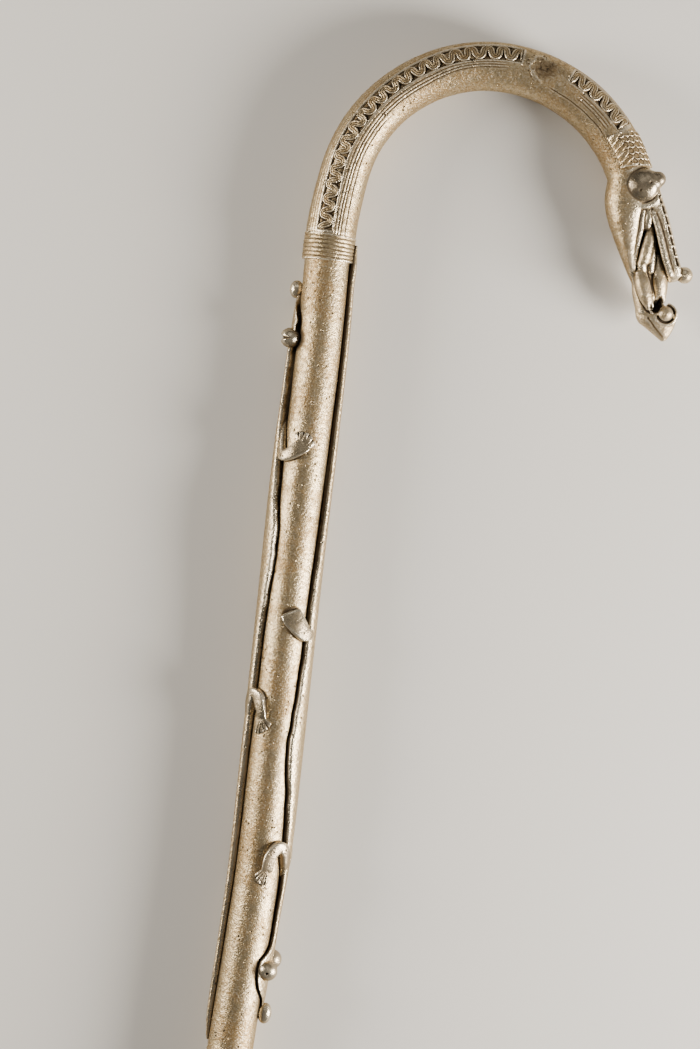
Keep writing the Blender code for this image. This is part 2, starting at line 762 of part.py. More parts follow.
def place(body, name, material, parent, collection, guide):
    """Puts a body into the scene; a guide only shapes the staff and isn't drawn."""
    mesh = bpy.data.meshes.new(name)
    body.to_mesh(mesh)
    body.free()
    mesh.materials.append(material)
    mesh.shade_smooth()
    item = bpy.data.objects.new(name, mesh)
    collection.objects.link(item)
    item.parent = parent
    if guide:
        item.hide_render = True
        item.display_type = "WIRE"
    return item


def new_collection(name):
    """A collection for the shapes that a Boolean adds or cuts."""
    collection = bpy.data.collections.new(name)
    bpy.context.scene.collection.children.link(collection)
    return collection


def combine(item, name, operation, collection):
    """Adds or cuts all the shapes of a collection."""
    modifier = item.modifiers.new(name, "BOOLEAN")
    modifier.operation = operation
    modifier.operand_type = "COLLECTION"
    modifier.collection = collection
    modifier.solver = "EXACT"
    return modifier


def floor_cut():
    """A block under the floor, which leaves small flat spots where the staff rests."""
    body = bmesh.new()
    bmesh.ops.create_cube(body, size=1.0)
    bmesh.ops.scale(body, vec=FLOOR_BLOCK, verts=body.verts)
    bmesh.ops.translate(body, vec=(0.0, COLLAR_AT / 2.0, -FLOOR_BLOCK[2] / 2.0), verts=body.verts)
    return body


def build():
    """The whole staff, with its origin under the middle of its outline, on the floor."""
    for item in list(bpy.data.objects):
        bpy.data.objects.remove(item, do_unlink=True)
    material = metal()
    scene = bpy.context.scene.collection
    frame = bpy.data.objects.new("frame", None)
    scene.objects.link(frame)

    added = [crook_body(), flaw_rim()]
    added += head_bodies()
    added += prey_bodies()
    upper_legs = UPPER_FORELEG + UPPER_HIND_LEG
    added += crocodile(COLLAR_AT - UPPER_CROC_SNOUT, -1.0, UPPER_CROC_ANGLE, UPPER_CROC_TWIST, upper_legs)
    lower_legs = LOWER_FORELEG + LOWER_HIND_LEG
    added += crocodile(COLLAR_AT - LOWER_CROC_SNOUT, 1.0, LOWER_CROC_ANGLE, LOWER_CROC_TWIST, lower_legs)
    added.append(wave_body(BAND_START + WAVE_END_GAP, BAND_STOP - WAVE_END_GAP))
    added.append(wave_body(SECOND_BAND_START + WAVE_END_GAP, SECOND_BAND_STOP - WAVE_END_GAP))
    cuts = [flaw_cut(), floor_cut()] + snout_slot_cuts() + prey_cuts()

    staff = place(shaft_body(), "staff", material, frame, scene, guide=False)
    shapes = new_collection("added shapes")
    for number, body in enumerate(added):
        place(body, f"shape_{number:02d}", material, frame, shapes, guide=True)
    cutters = new_collection("cut shapes")
    for number, body in enumerate(cuts):
        place(body, f"cut_{number:02d}", material, frame, cutters, guide=True)
    combine(staff, "add shapes", "UNION", shapes)
    combine(staff, "cut shapes", "DIFFERENCE", cutters)

    bpy.context.view_layer.update()
    finished = staff.evaluated_get(bpy.context.evaluated_depsgraph_get())
    xs = [vertex.co.x for vertex in finished.data.vertices]
    ys = [vertex.co.y for vertex in finished.data.vertices]
    frame.location = (-(min(xs) + max(xs)) / 2.0, -(min(ys) + max(ys)) / 2.0, 0.0)


build()
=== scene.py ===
import json
import math

import bpy
import numpy as np
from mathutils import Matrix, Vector


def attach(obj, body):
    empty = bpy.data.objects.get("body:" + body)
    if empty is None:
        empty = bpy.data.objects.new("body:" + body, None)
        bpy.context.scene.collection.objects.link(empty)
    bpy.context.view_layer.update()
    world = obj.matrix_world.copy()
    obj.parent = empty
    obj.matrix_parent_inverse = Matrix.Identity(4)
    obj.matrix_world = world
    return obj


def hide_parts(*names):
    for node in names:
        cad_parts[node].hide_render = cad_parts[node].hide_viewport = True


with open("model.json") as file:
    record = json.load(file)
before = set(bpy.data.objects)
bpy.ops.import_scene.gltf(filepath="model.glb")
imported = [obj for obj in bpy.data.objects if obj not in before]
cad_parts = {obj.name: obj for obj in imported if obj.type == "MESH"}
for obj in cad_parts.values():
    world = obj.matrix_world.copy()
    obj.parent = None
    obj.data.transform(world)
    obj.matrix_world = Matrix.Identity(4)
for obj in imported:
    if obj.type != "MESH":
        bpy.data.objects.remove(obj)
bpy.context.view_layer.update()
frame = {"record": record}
print("frame loaded")

# The staff as a whole: its middle line is straight runs and bends, in metres and in degrees towards +X
staff = {
    "runs": [0.496, 0.06, 0.358, 0.062, 0.115, 0.123],
    "turns": [0.0, -2.9, 0.0, 11.3, 70.4, 71.9],
    "collarAt": 0.914,
    "crookAt": 0.932,
    "headAt": 1.214,
    "shaftRadius": 0.0148,
    "height": 0.0182,
    "headTurn": 8.7,
    "headPart": 0.001,
    "floorGap": 0.00002,
    "sway": [
        (0.7, 0.0), (0.732, -0.0002), (0.805, -0.0013), (0.862, -0.0021), (0.915, -0.0013),
        (0.95, -0.0008), (1.03, -0.0006), (1.09, 0.0),
    ],
}
shaftRadius = staff["shaftRadius"]
footEnd = frame["record"]["mounts"][0]["pos_m"]

# Distance along the line, heading there, and the place, each as one long array
lineKnots = np.concatenate([[0.0], np.cumsum(staff["runs"])])
lineTurns = np.concatenate([[0.0], np.cumsum(np.radians(staff["turns"]))])
lineAlong = np.linspace(0.0, lineKnots[-1] + 0.03, 12001)
lineHeading = np.interp(lineAlong, lineKnots, lineTurns)
lineStep = lineAlong[1] - lineAlong[0]
midHeading = (lineHeading[1:] + lineHeading[:-1]) / 2.0
lineX = footEnd[0] + np.concatenate([[0.0], np.cumsum(np.sin(midHeading)) * lineStep])
lineY = footEnd[1] + np.concatenate([[0.0], np.cumsum(np.cos(midHeading)) * lineStep])


def smoothStep(value, low, high):
    # 0 below low, 1 above high, and 3t^2 - 2t^3 between them
    share = np.clip((value - low) / (high - low), 0.0, 1.0)
    return share * share * (3.0 - 2.0 * share)


def fall(value, low, high):
    return 1.0 - smoothStep(value, low, high)


def within(value, low, lowFull, highFull, high):
    # 1 from lowFull to highFull, 0 below low and above high, with smooth steps between
    return smoothStep(value, low, lowFull) * fall(value, highFull, high)


def readTable(at, rows):
    # A smooth curve through rows of (place, size, ...): cubics whose slopes are the harmonic mean of
    # the slopes to both neighbours, so that nothing swings past a row
    rows = np.asarray(rows, dtype=float)
    places, sizes = rows[:, 0], rows[:, 1:]
    gaps = np.diff(places)[:, None]
    rises = np.diff(sizes, axis=0) / gaps
    slopes = np.zeros_like(sizes)
    slopes[0], slopes[-1] = rises[0], rises[-1]
    same = rises[1:] * rises[:-1] > 0.0
    total = np.where(same, rises[1:] + rises[:-1], 1.0)
    slopes[1:-1] = np.where(same, 2.0 * rises[1:] * rises[:-1] / total, 0.0)
    at = np.clip(np.asarray(at, dtype=float), places[0], places[-1])
    low = np.clip(np.searchsorted(places, at, side="right") - 1, 0, len(places) - 2)
    t = ((at - places[low]) / gaps[low, 0])[..., None]
    gap = gaps[low]
    start = (1.0 + 2.0 * t) * (1.0 - t) ** 2 * sizes[low] + t * (1.0 - t) ** 2 * gap * slopes[low]
    stop = t * t * (3.0 - 2.0 * t) * sizes[low + 1] + t * t * (t - 1.0) * gap * slopes[low + 1]
    return np.moveaxis(start + stop, -1, 0)


def alongRows(t, rows):
    # A smooth curve through evenly spaced rows, at shares of the way from the first to the last
    return readTable(t, np.column_stack([np.linspace(0.0, 1.0, len(rows)), rows]))


def onStaff(along, around, reach):
    # A place from its distance along the staff, its degrees round from the top (90 is the outside of
    # the crook), and its reach from the middle line
    along, around, reach = np.broadcast_arrays(along, np.radians(around), reach)
    heading = np.interp(along, lineAlong, lineHeading)
    out = reach * np.sin(around) + readTable(along, staff["sway"])[0]
    x = np.interp(along, lineAlong, lineX) - out * np.cos(heading)
    y = np.interp(along, lineAlong, lineY) + out * np.sin(heading)
    return np.stack([x, y, staff["height"] + reach * np.cos(around)], axis=-1)


headHeading = np.interp(staff["headAt"], lineAlong, lineHeading) + math.radians(staff["headTurn"])
headForward = np.array([math.sin(headHeading), math.cos(headHeading), 0.0])
headOut = np.array([-math.cos(headHeading), math.sin(headHeading), 0.0])
headOrigin = onStaff(staff["headAt"], 0.0, 0.0)


def onHead(forward, out, aside=0.0):
    # A place on the head, in head parts: forward to the snout, out to the back, and aside from its plane
    forward, out, aside = np.broadcast_arrays(forward, out, aside)
    part = staff["headPart"]
    place = forward[..., None] * headForward + out[..., None] * headOut
    return headOrigin + part * (place + aside[..., None] * np.array([0.0, 0.0, 1.0]))


def headPlaces(points):
    # The inverse of onHead: forward, out and aside for an array of points
    away = (points - headOrigin) / staff["headPart"]
    return away @ headForward, away @ headOut, away[..., 2]


def handmade(a, b, seed):
    # Gentle unevenness between about -1 and 1: six crossed sine waves with fixed turns and sizes
    wave = np.zeros(np.broadcast(a, b).shape)
    for i in range(6):
        turn = seed * 1.7 + i * 2.4
        size = 1.0 + 0.63 * i
        wave = wave + np.sin(size * (a * math.cos(turn) + b * math.sin(turn)) + 5.1 * i + seed) / size ** 0.5
    return wave / 2.6


def withSides(values, side=None):
    # One more column at each side of a grid: the one given, or the same as the grid's own
    low, high = (values[:, :1], values[:, -1:]) if side is None else (side, side)
    return np.concatenate([low, values, high], axis=1)


def closedSkin(points):
    # A closed skin over rings of points: quads between the rings and a fan over each end, turned
    # round if the volume that it holds comes out negative
    rows, columns = points.shape[:2]
    corner = np.arange(rows * columns).reshape(rows, columns)
    after = np.roll(corner, -1, axis=1)
    quads = np.stack([corner[:-1], after[:-1], after[1:], corner[1:]], axis=-1).reshape(-1, 4)
    lowFan = np.stack([np.full(columns, rows * columns), after[0], corner[0]], axis=-1)
    highFan = np.stack([np.full(columns, rows * columns + 1), corner[-1], after[-1]], axis=-1)
    fans = np.concatenate([lowFan, highFan])
    verts = np.concatenate([points.reshape(-1, 3), [points[0].mean(axis=0)], [points[-1].mean(axis=0)]])
    halves = np.concatenate([quads[:, [0, 1, 2]], quads[:, [0, 2, 3]], fans])
    a, b, c = (verts[halves[:, i]] - verts.mean(axis=0) for i in range(3))
    if np.einsum("ij,ij->", a, np.cross(b, c)) < 0.0:
        quads, fans = quads[:, ::-1], fans[:, ::-1]
    return verts, quads, fans


def joinSkins(skins):
    # Several closed skins as one, each keeping its own points
    starts = np.cumsum([0] + [len(verts) for verts, _, _ in skins[:-1]])
    verts = np.concatenate([verts for verts, _, _ in skins])
    quads = np.concatenate([quads + start for (_, quads, _), start in zip(skins, starts)])
    fans = np.concatenate([fans + start for (_, _, fans), start in zip(skins, starts)])
    return verts, quads, fans


def makeMesh(name, skin):
    verts, quads, fans = skin
    mesh = bpy.data.meshes.new(name)
    mesh.vertices.add(len(verts))
    mesh.vertices.foreach_set("co", verts.astype(np.float32).ravel())
    mesh.loops.add(quads.size + fans.size)
    mesh.loops.foreach_set("vertex_index", np.concatenate([quads.ravel(), fans.ravel()]).astype(np.int32))
    starts = np.concatenate([np.arange(len(quads)) * 4, quads.size + np.arange(len(fans)) * 3])
    mesh.polygons.add(len(starts))
    mesh.polygons.foreach_set("loop_start", starts.astype(np.int32))
    mesh.update(calc_edges=True)
    mesh.validate()
    mesh.shade_smooth()
    return mesh


def readMesh(mesh):
    # A mesh's points, normals and edges as arrays
    def values(parts, name, width, kind):
        held = np.empty(len(parts) * width, dtype=kind)
        parts.foreach_get(name, held)
        return held.reshape(-1, width)

    points, normals = (values(mesh.vertices, name, 3, np.float32).astype(float) for name in ("co", "normal"))
    return points, normals, values(mesh.edges, "vertices", 2, np.int32)


def movePoints(mesh, points):
    mesh.vertices.foreach_set("co", points.astype(np.float32).ravel())
    mesh.update()


def addObject(name, data):
    made = bpy.data.objects.new(name, data)
    bpy.context.scene.collection.objects.link(made)
    return made


def relaxed(values, edges, rounds, share=0.6):
    # Each point's value drawn towards the mean of its neighbours, several times over
    count = np.bincount(edges.ravel(), minlength=len(values)).astype(float)[:, None]
    values = values.copy()
    for _ in range(rounds):
        total = np.empty_like(values)
        for axis in range(values.shape[1]):
            total[:, axis] = np.bincount(edges[:, 0], values[edges[:, 1], axis], len(values))
            total[:, axis] += np.bincount(edges[:, 1], values[edges[:, 0], axis], len(values))
        values += share * (total / np.maximum(count, 1.0) - values)
    return values


def markHollows(mesh, extraDirtAndShade, bare, polish):
    # Attributes for the finish: how far a point lies below its smoothed surroundings, shown as brown patina
    # and painted shade, and how far above, shown as worn silver. Both are the smoothed place less the place,
    # measured along the normal, fine and broad; from the second the mean of the same round about is taken
    # off. Where the grid is coarser than 0.7 mm both are cut down by its square. A third attribute holds
    # where smooth bare metal shows. A piece can add dirt and painted shade to the hollows, and add or take
    # off polish, which on the head is also painted sheen, elsewhere
    points, normals, edges = readMesh(mesh)
    near = relaxed(points, edges, 6)
    far = relaxed(near, edges, 26)
    fine = np.einsum("ij,ij->i", near - points, normals) / 0.0001
    broad = np.einsum("ij,ij->i", far - points, normals) / 0.00032
    long = np.sum((points[edges[:, 0]] - points[edges[:, 1]]) ** 2, axis=1)
    total = sum(np.bincount(edges[:, side], long, len(points)) for side in (0, 1))
    total /= np.maximum(np.bincount(edges.ravel(), minlength=len(points)), 1)
    depth = (0.55 * fine + 0.6 * broad) * np.clip(0.0007**2 / np.maximum(total, 1e-12), 0.0, 1.0)
    around = relaxed(np.clip(depth, -1.2, 0.3)[:, None], edges, 90)[:, 0]
    hollow = np.clip(depth - 0.12, 0.0, 1.0)
    if extraDirtAndShade is not None:
        hollow = np.clip(hollow + extraDirtAndShade, 0.0, 1.0)
    bare = np.zeros(len(points)) if bare is None else bare
    worn = np.clip(around - depth - 0.05, 0.0, 1.0) + polish * (1.0 - hollow)
    for name, values in (("hollow", hollow), ("worn", np.clip(worn, 0.0, 1.0)), ("bare", bare)):
        layer = mesh.attributes.new(name, "FLOAT", "POINT")
        layer.data.foreach_set("value", values.astype(np.float32))


def finishPiece(name, mesh, extraDirtAndShade=None, bare=None, polish=0.0):
    # A finished piece: what lies lowest rests flat on the floor, and it is marked for its finish, put in
    # the scene, riding on the staff and standing for it
    points = readMesh(mesh)[0]
    points[:, 2] = np.maximum(points[:, 2], staff["floorGap"])
    movePoints(mesh, points)
    markHollows(mesh, extraDirtAndShade, bare, polish)
    piece = addObject(name, mesh)
    mesh.materials.append(metal)
    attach(piece, "root")
    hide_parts("staff")
    print(name, len(mesh.vertices), "points,", sum(len(p.vertices) - 2 for p in mesh.polygons), "triangles")


def finishRings(name, points, dirt=None, polish=0.0):
    # A piece made of rings of points, with dirt and painted shade given over the same rings and none at the two ends
    dirt = None if dirt is None else np.append(dirt, [0.0, 0.0])
    finishPiece(name, makeMesh(name, closedSkin(points)), dirt, None, polish)


class Socket:
    # A node's output that takes part in sums: each operator adds the Math node of that name
    def __init__(self, tree, link):
        self.tree, self.link = tree, link

    def sum(self, operation, first, second):
        return self.tree.node("ShaderNodeMath", {"operation": operation}, {0: first, 1: second})

    def __add__(self, other):
        return self.sum("ADD", self, other)

    __radd__ = __add__

    def __mul__(self, other):
        return self.sum("MULTIPLY", self, other)

    def __sub__(self, other):
        return self.sum("SUBTRACT", self, other)

    def __rsub__(self, other):
        return self.sum("SUBTRACT", other, self)

    def between(self, low, high):
        # A smooth ramp from 0 at low to 1 at high
        inputs = {"Value": self, "From Min": low, "From Max": high}
        return self.tree.node("ShaderNodeMapRange", {"interpolation_type": "SMOOTHSTEP"}, inputs)


class Tree:
    def __init__(self, name):
        self.material = bpy.data.materials.new(name)
        self.material.use_nodes = True
        self.nodes, self.links = self.material.node_tree.nodes, self.material.node_tree.links
        self.shader = self.nodes["Principled BSDF"]

    def node(self, kind, settings=None, inputs=None, output=0):
        made = self.nodes.new(kind)
        for name, value in (settings or {}).items():
            setattr(made, name, value)
        for name, value in (inputs or {}).items():
            self.feed(made.inputs[name], value)
        return Socket(self, made.outputs[output])

    def feed(self, socket, value):
        if isinstance(value, Socket):
            self.links.new(value.link, socket)
        else:
            socket.default_value = value

    def give(self, name, value):
        # Sets one input of the material's shader
        self.feed(self.shader.inputs[name], value)

    def mix(self, share, low, high):
        # One colour laid over another by a share
        return self.node("ShaderNodeMix", {"data_type": "RGBA"}, {0: share, 6: low, 7: high}, 2)

    def attribute(self, name):
        return self.node("ShaderNodeAttribute", {"attribute_name": name}, output=2)

    def place(self):
        return self.node("ShaderNodeTexCoord", output=3)

    def noise(self, scale, detail, roughness, distortion=0.0):
        inputs = {"Scale": scale, "Detail": detail, "Roughness": roughness, "Distortion": distortion}
        return self.node("ShaderNodeTexNoise", {}, {**inputs, "Vector": self.place()})


metalLook = {
    "pale": (0.45, 0.35, 0.205, 1.0),
    "silver": (0.68, 0.6, 0.46, 1.0),
    "buff": (0.31, 0.21, 0.1, 1.0),
    "brown": (0.1, 0.065, 0.032, 1.0),
    "grey": (0.27, 0.24, 0.19, 1.0),
    "dusk": (0.105, 0.08, 0.052, 1.0),
    "edge": (0.8, 0.68, 0.5, 1.0),
    # deep: painted shade in the deepest hollows and creases, and the dark of the casting pits
    "deep": (0.012, 0.007, 0.004, 1.0),
    "metallic": 0.86,
    "roughness": 0.29,
    "grain": 0.7,
    "coarse": 1.4,
    "pits": 4.0,
}


def castMetal():
    # Worn cast metal: pale where clean, buff where dirt clings, brown patina and, in the deeper hollows,
    # painted shade down to black; silvery on the high spots where worn and where a piece adds polish and
    # painted sheen, smooth grey where bare, with small casting pits and a coarse grain
    look = metalLook
    tree = Tree("cast_metal")
    hollow, worn, bare = (tree.attribute(name) for name in ("hollow", "worn", "bare"))
    cloud = tree.noise(26.0, 5.0, 0.6)
    patch = tree.noise(120.0, 6.0, 0.65, distortion=0.6)
    grain = tree.noise(950.0, 3.0, 0.6)
    coarse = tree.noise(480.0, 4.0, 0.65)
    dirt = (cloud * 0.5 + patch * 0.5).between(0.43, 0.58)
    clean = 1.0 - bare * 0.5
    speck = coarse.between(0.46, 0.62) * clean
    glint = grain.between(0.5, 0.64) * clean
    pitField = tree.node("ShaderNodeTexVoronoi", {"feature": "F1"}, {"Vector": tree.place(), "Scale": 300.0})
    pitPick = tree.noise(110.0, 2.0, 0.5).between(0.52, 0.62)
    pits = (1.0 - pitField.between(0.1, 0.26)) * pitPick * clean
    colour = tree.mix(dirt * (1.0 - worn * 0.8), look["pale"], look["buff"])
    colour = tree.mix(speck * 0.52 * (1.0 - worn * 0.6), colour, look["brown"])
    colour = tree.mix(glint * 0.5, colour, look["silver"])
    colour = tree.mix(bare * 0.75, colour, look["grey"])
    colour = tree.mix(bare.between(0.8, 1.0) * (0.22 + speck * 0.5), colour, look["dusk"])
    colour = tree.mix(worn.between(0.12, 0.7) * 0.8, colour, look["silver"])
    # The hollows: brown as patina and painted shade, then painted shade down to near black where deeper
    colour = tree.mix(hollow.between(0.03, 0.4) * 0.85, colour, look["brown"])
    colour = tree.mix(hollow.between(0.22, 0.75) * 0.95, colour, look["deep"])
    colour = tree.mix(pits * 0.85, colour, look["deep"])
    tree.give("Base Color", colour)
    tree.give("Specular Tint", look["edge"])
    metallic = look["metallic"] - dirt * 0.15 - hollow.between(0.1, 0.6) * 0.45 - pits * 0.3
    tree.give("Metallic", metallic)
    roughness = look["roughness"] + dirt * 0.1 + hollow * 0.3 + speck * 0.1 - worn.between(0.1, 0.9) * 0.1
    tree.give("Roughness", roughness - bare * 0.08)
    height = (grain * look["grain"] + coarse * look["coarse"] + patch * 1.2) * clean - pits * look["pits"]
    bump = {"Strength": 0.6, "Distance": 0.0005, "Height": height}
    tree.give("Normal", tree.node("ShaderNodeBump", {}, bump))
    return tree.material


metal = castMetal()
print("metal mixed")

# Shaft: a plain tube with a ringed foot; sizes along it, in metres
shaftSizes = {
    "footRadius": 0.0186,
    "footBand": 0.012,
    "footRings": 3,
    "footRingPitch": 0.007,
    "columns": 104,
    "uneven": 0.0001,
}


def shaftRadiusAt(along, around):
    # The foot's turned profile, then the plain tube with a little unevenness
    size = shaftSizes
    radius = shaftRadius
    rows = [(0.0, size["footRadius"] - 0.0011), (0.0004, size["footRadius"] - 0.0004)]
    rows += [(0.0012, size["footRadius"]), (size["footBand"] - 0.0006, size["footRadius"])]
    for i in range(size["footRings"]):
        start = size["footBand"] + i * size["footRingPitch"]
        crest = size["footRadius"] - (size["footRadius"] - radius) * (i + 1) / (size["footRings"] + 1)
        rows += [(start + 0.0006, crest - 0.0012), (start + 0.0026, crest), (start + 0.005, crest)]
    rows += [(size["footBand"] + (size["footRings"] + 0.12) * size["footRingPitch"], radius), (0.95, radius)]
    turned = readTable(along, rows)[0]
    uneven = handmade(along * 55.0, np.radians(around) * 1.0, 1.0) * smoothStep(along, 0.02, 0.06)
    return turned + size["uneven"] * uneven * np.cos(np.radians(around) * 0.5) ** 2


def roundShaft(around, turn):
    # The distance round the shaft from one turn to another, in metres and with its sign
    return ((around - turn + 180.0) % 360.0 - 180.0) * math.pi / 180.0 * shaftRadius


def crocAlong(croc, fromSnout):
    return croc["snoutAt"] + croc["tailward"] * fromSnout


def crocAround(croc, side, turn):
    return croc["angle"] + side * croc["front"] * turn


def crocShadow(along, around):
    # Painted shadow on the shaft beside the crocodiles, round their legs and beside their eyes: it fades over a few
    # millimetres from their edges
    dark = np.zeros(np.broadcast(along, around).shape)
    for croc in (upperCroc, lowerCroc):
        fromSnout = (along - croc["snoutAt"]) * croc["tailward"]
        middle, half, _, _, _ = crocBody(croc, fromSnout)
        away = np.abs(roundShaft(around, middle))
        inside = (fromSnout > -0.003) & (fromSnout < croc["length"])
        dark = np.maximum(dark, np.where(inside, 0.85 - 0.85 * smoothStep(away - half, -0.0004, 0.0018), 0.0))
        for limb in croc["limbs"]:
            limbPath = alongRows(np.linspace(0.0, 0.85, 28), limb)
            for side in (1.0, -1.0):
                limbAround = crocAround(croc, side, limbPath[1])
                for place, turn, wide in zip(crocAlong(croc, limbPath[0]), limbAround, limbPath[2]):
                    gap = np.hypot(along - place, roundShaft(around, turn)) - wide
                    dark = np.maximum(dark, 0.55 * fall(gap, -0.0004, 0.0011))
        turn = croc["angle"] + croc["twist"] + croc["front"] * croc["eyeSpread"]
        fromEye = along - crocAlong(croc, croc["eyesFrom"][0])
        gap = np.hypot(fromEye, 0.8 * roundShaft(around, turn)) - 1.1 * crocSizes["eye"]
        dark = np.maximum(dark, 0.5 * fall(gap, -0.001, 0.003))
    return dark


# Crocodiles: each is laid out from the tip of its snout, in metres, and degrees round the shaft. The
# shape's rows are (share of the length, half width, share of the rise, share of the edge, undercut), a
# limb's are (distance, turn, half width, share of the legs' rise), and a foot has its wrist, the ends of
# its toes and how far its palm goes. The front is the way that the shown legs turn from the body, the
# shade is the painted shade under the body's edge, and the bridge is where the body has no gap under its edge
crocSizes = {
    "rise": 0.0054,
    "edge": 0.0018,
    "eye": 0.0065,
    "legRise": 0.0042,
    "legStem": 0.0004,
    "footRise": 0.0026,
    "toeTipRise": 0.0015,
    "toes": 5,
    "slitDirt": 0.9,
    "hatch": 0.00012,
    "polish": 0.18,
}
crocShape = [
    (0.0, 0.0014, 0.34, 0.6, 0.0008), (0.014, 0.003, 0.46, 0.8, 0.001),
    (0.026, 0.0076, 0.52, 0.9, 0.0044), (0.033, 0.01, 0.54, 1.0, 0.006),
    (0.046, 0.0114, 0.58, 1.0, 0.007), (0.066, 0.0112, 0.64, 1.0, 0.007),
    (0.08, 0.0062, 0.74, 1.0, 0.0036), (0.09, 0.0036, 0.78, 1.0, 0.0016),
    (0.105, 0.0029, 0.78, 1.0, 0.0015), (0.154, 0.0029, 0.84, 1.0, 0.0015),
    (0.2, 0.0044, 0.94, 0.8, 0.0015), (0.276, 0.0074, 1.0, 0.5, 0.0014),
    (0.338, 0.0108, 1.0, 0.4, 0.0014), (0.41, 0.0086, 1.0, 0.4, 0.0014),
    (0.482, 0.0066, 1.0, 0.5, 0.0014), (0.55, 0.0058, 1.0, 0.5, 0.0014),
    (0.622, 0.004, 1.0, 0.5, 0.0014), (0.7, 0.003, 0.98, 0.5, 0.0012),
    (0.82, 0.0027, 0.84, 0.5, 0.001), (0.96, 0.0022, 0.72, 0.4, 0.0008),
    (1.0, 0.0009, 0.3, 0.3, 0.0003),
]
upperCroc = {
    "name": "crocodileUpper",
    "snoutAt": staff["collarAt"] - 0.0194,
    "tailward": -1.0,
    "angle": 89.0,
    "twist": 18.0,
    "front": -1.0,
    "length": 0.488,
    "lift": [(0.0, 0.0008), (0.06, 0.0014), (0.12, 0.0016), (0.25, 0.0011), (0.36, 0.0003), (0.42, 0.0), (1.0, 0.0)],
    "eyesFrom": (0.0319, 0.0325),
    "eyeSpread": 27.0,
    "eyeReach": 0.005,
    "nostril": (0.0046, 0.0058),
    "nostrilReach": 0.0042,
    "eyeMark": "slit",
    "shade": 0.12,
    "bridge": None,
    "limbs": [
        [
            (0.085, 7.0, 0.0014, 0.9), (0.095, 14.0, 0.0024, 1.05), (0.104, 22.0, 0.0028, 1.15),
            (0.108, 34.0, 0.0034, 1.2), (0.1066, 50.0, 0.004, 1.05), (0.1038, 65.0, 0.0045, 0.85),
            (0.1006, 78.0, 0.005, 0.62), (0.0982, 88.0, 0.005, 0.42),
        ],
        [
            (0.28, 12.0, 0.0024, 1.3), (0.27, 15.0, 0.0036, 1.5), (0.2618, 26.0, 0.0038, 1.45),
            (0.263, 41.0, 0.0038, 1.2), (0.2697, 51.0, 0.0031, 1.05), (0.2752, 56.0, 0.0028, 0.8),
            (0.279, 57.0, 0.003, 0.5),
        ],
    ],
    "feet": [
        ((0.1045, 74.0), [(0.093, 52.0), (0.091, 68.0), (0.0914, 86.0), (0.0946, 101.0), (0.0994, 111.0)], 0.7),
        ((0.2755, 58.0), [(0.2866, 32.0), (0.288, 46.0), (0.2868, 60.0), (0.2842, 72.0), (0.2796, 83.0)], 0.3),
    ],
}
lowerCroc = {
    "name": "crocodileLower",
    "snoutAt": staff["collarAt"] - 0.485,
    "tailward": 1.0,
    "angle": -82.0,
    "twist": -2.5,
    "front": 1.0,
    "length": 0.498,
    "lift": [(0.0, 0.0), (0.1, -0.0004), (0.2, 0.0), (0.94, 0.0), (0.97, 0.001), (1.0, 0.002)],
    "eyesFrom": (0.0278, 0.0345),
    "eyeSpread": 23.0,
    "eyeReach": 0.0033,
    "nostril": (0.0044, 0.0068),
    "nostrilReach": 0.0037,
    "eyeMark": "pit",
    "shade": 1.0,
    "bridge": (0.341, 0.355),
    "limbs": [
        [
            (0.088, 9.0, 0.0018, 1.1), (0.098, 14.0, 0.0029, 1.35), (0.1052, 24.0, 0.0035, 1.4),
            (0.1076, 38.0, 0.0038, 1.25), (0.1045, 52.0, 0.0035, 1.15), (0.0985, 61.0, 0.0034, 1.0),
            (0.0932, 61.0, 0.0034, 0.75), (0.09, 61.0, 0.0036, 0.45),
        ],
        [
            (0.264, 6.0, 0.002, 0.9), (0.253, 9.0, 0.0027, 1.1), (0.2447, 18.0, 0.0036, 1.25),
            (0.245, 33.0, 0.005, 1.15), (0.25, 52.0, 0.0062, 0.9), (0.2548, 66.0, 0.0067, 0.62),
            (0.259, 75.0, 0.0068, 0.4),
        ],
    ],
    "feet": [
        ((0.095, 60.0), [(0.0887, 90.0), (0.085, 85.0), (0.0826, 77.0), (0.0816, 66.0), (0.083, 53.0)], 0.35),
    ],
}


def crocBody(croc, fromSnout):
    # The body's middle angle, half its width, its rise, how high its edge stands off the shaft, and how
    # far its stem stays inside its edge
    share = fromSnout / croc["length"]
    half, rise, edge, undercut = readTable(share, crocShape)
    middle = croc["angle"] + croc["twist"] * fall(share, 0.03, 0.16)
    lift = readTable(share, croc["lift"])[0]
    edge = np.maximum(edge * crocSizes["edge"] + lift, 0.0002)
    return middle, half, rise * crocSizes["rise"] + lift, edge, undercut


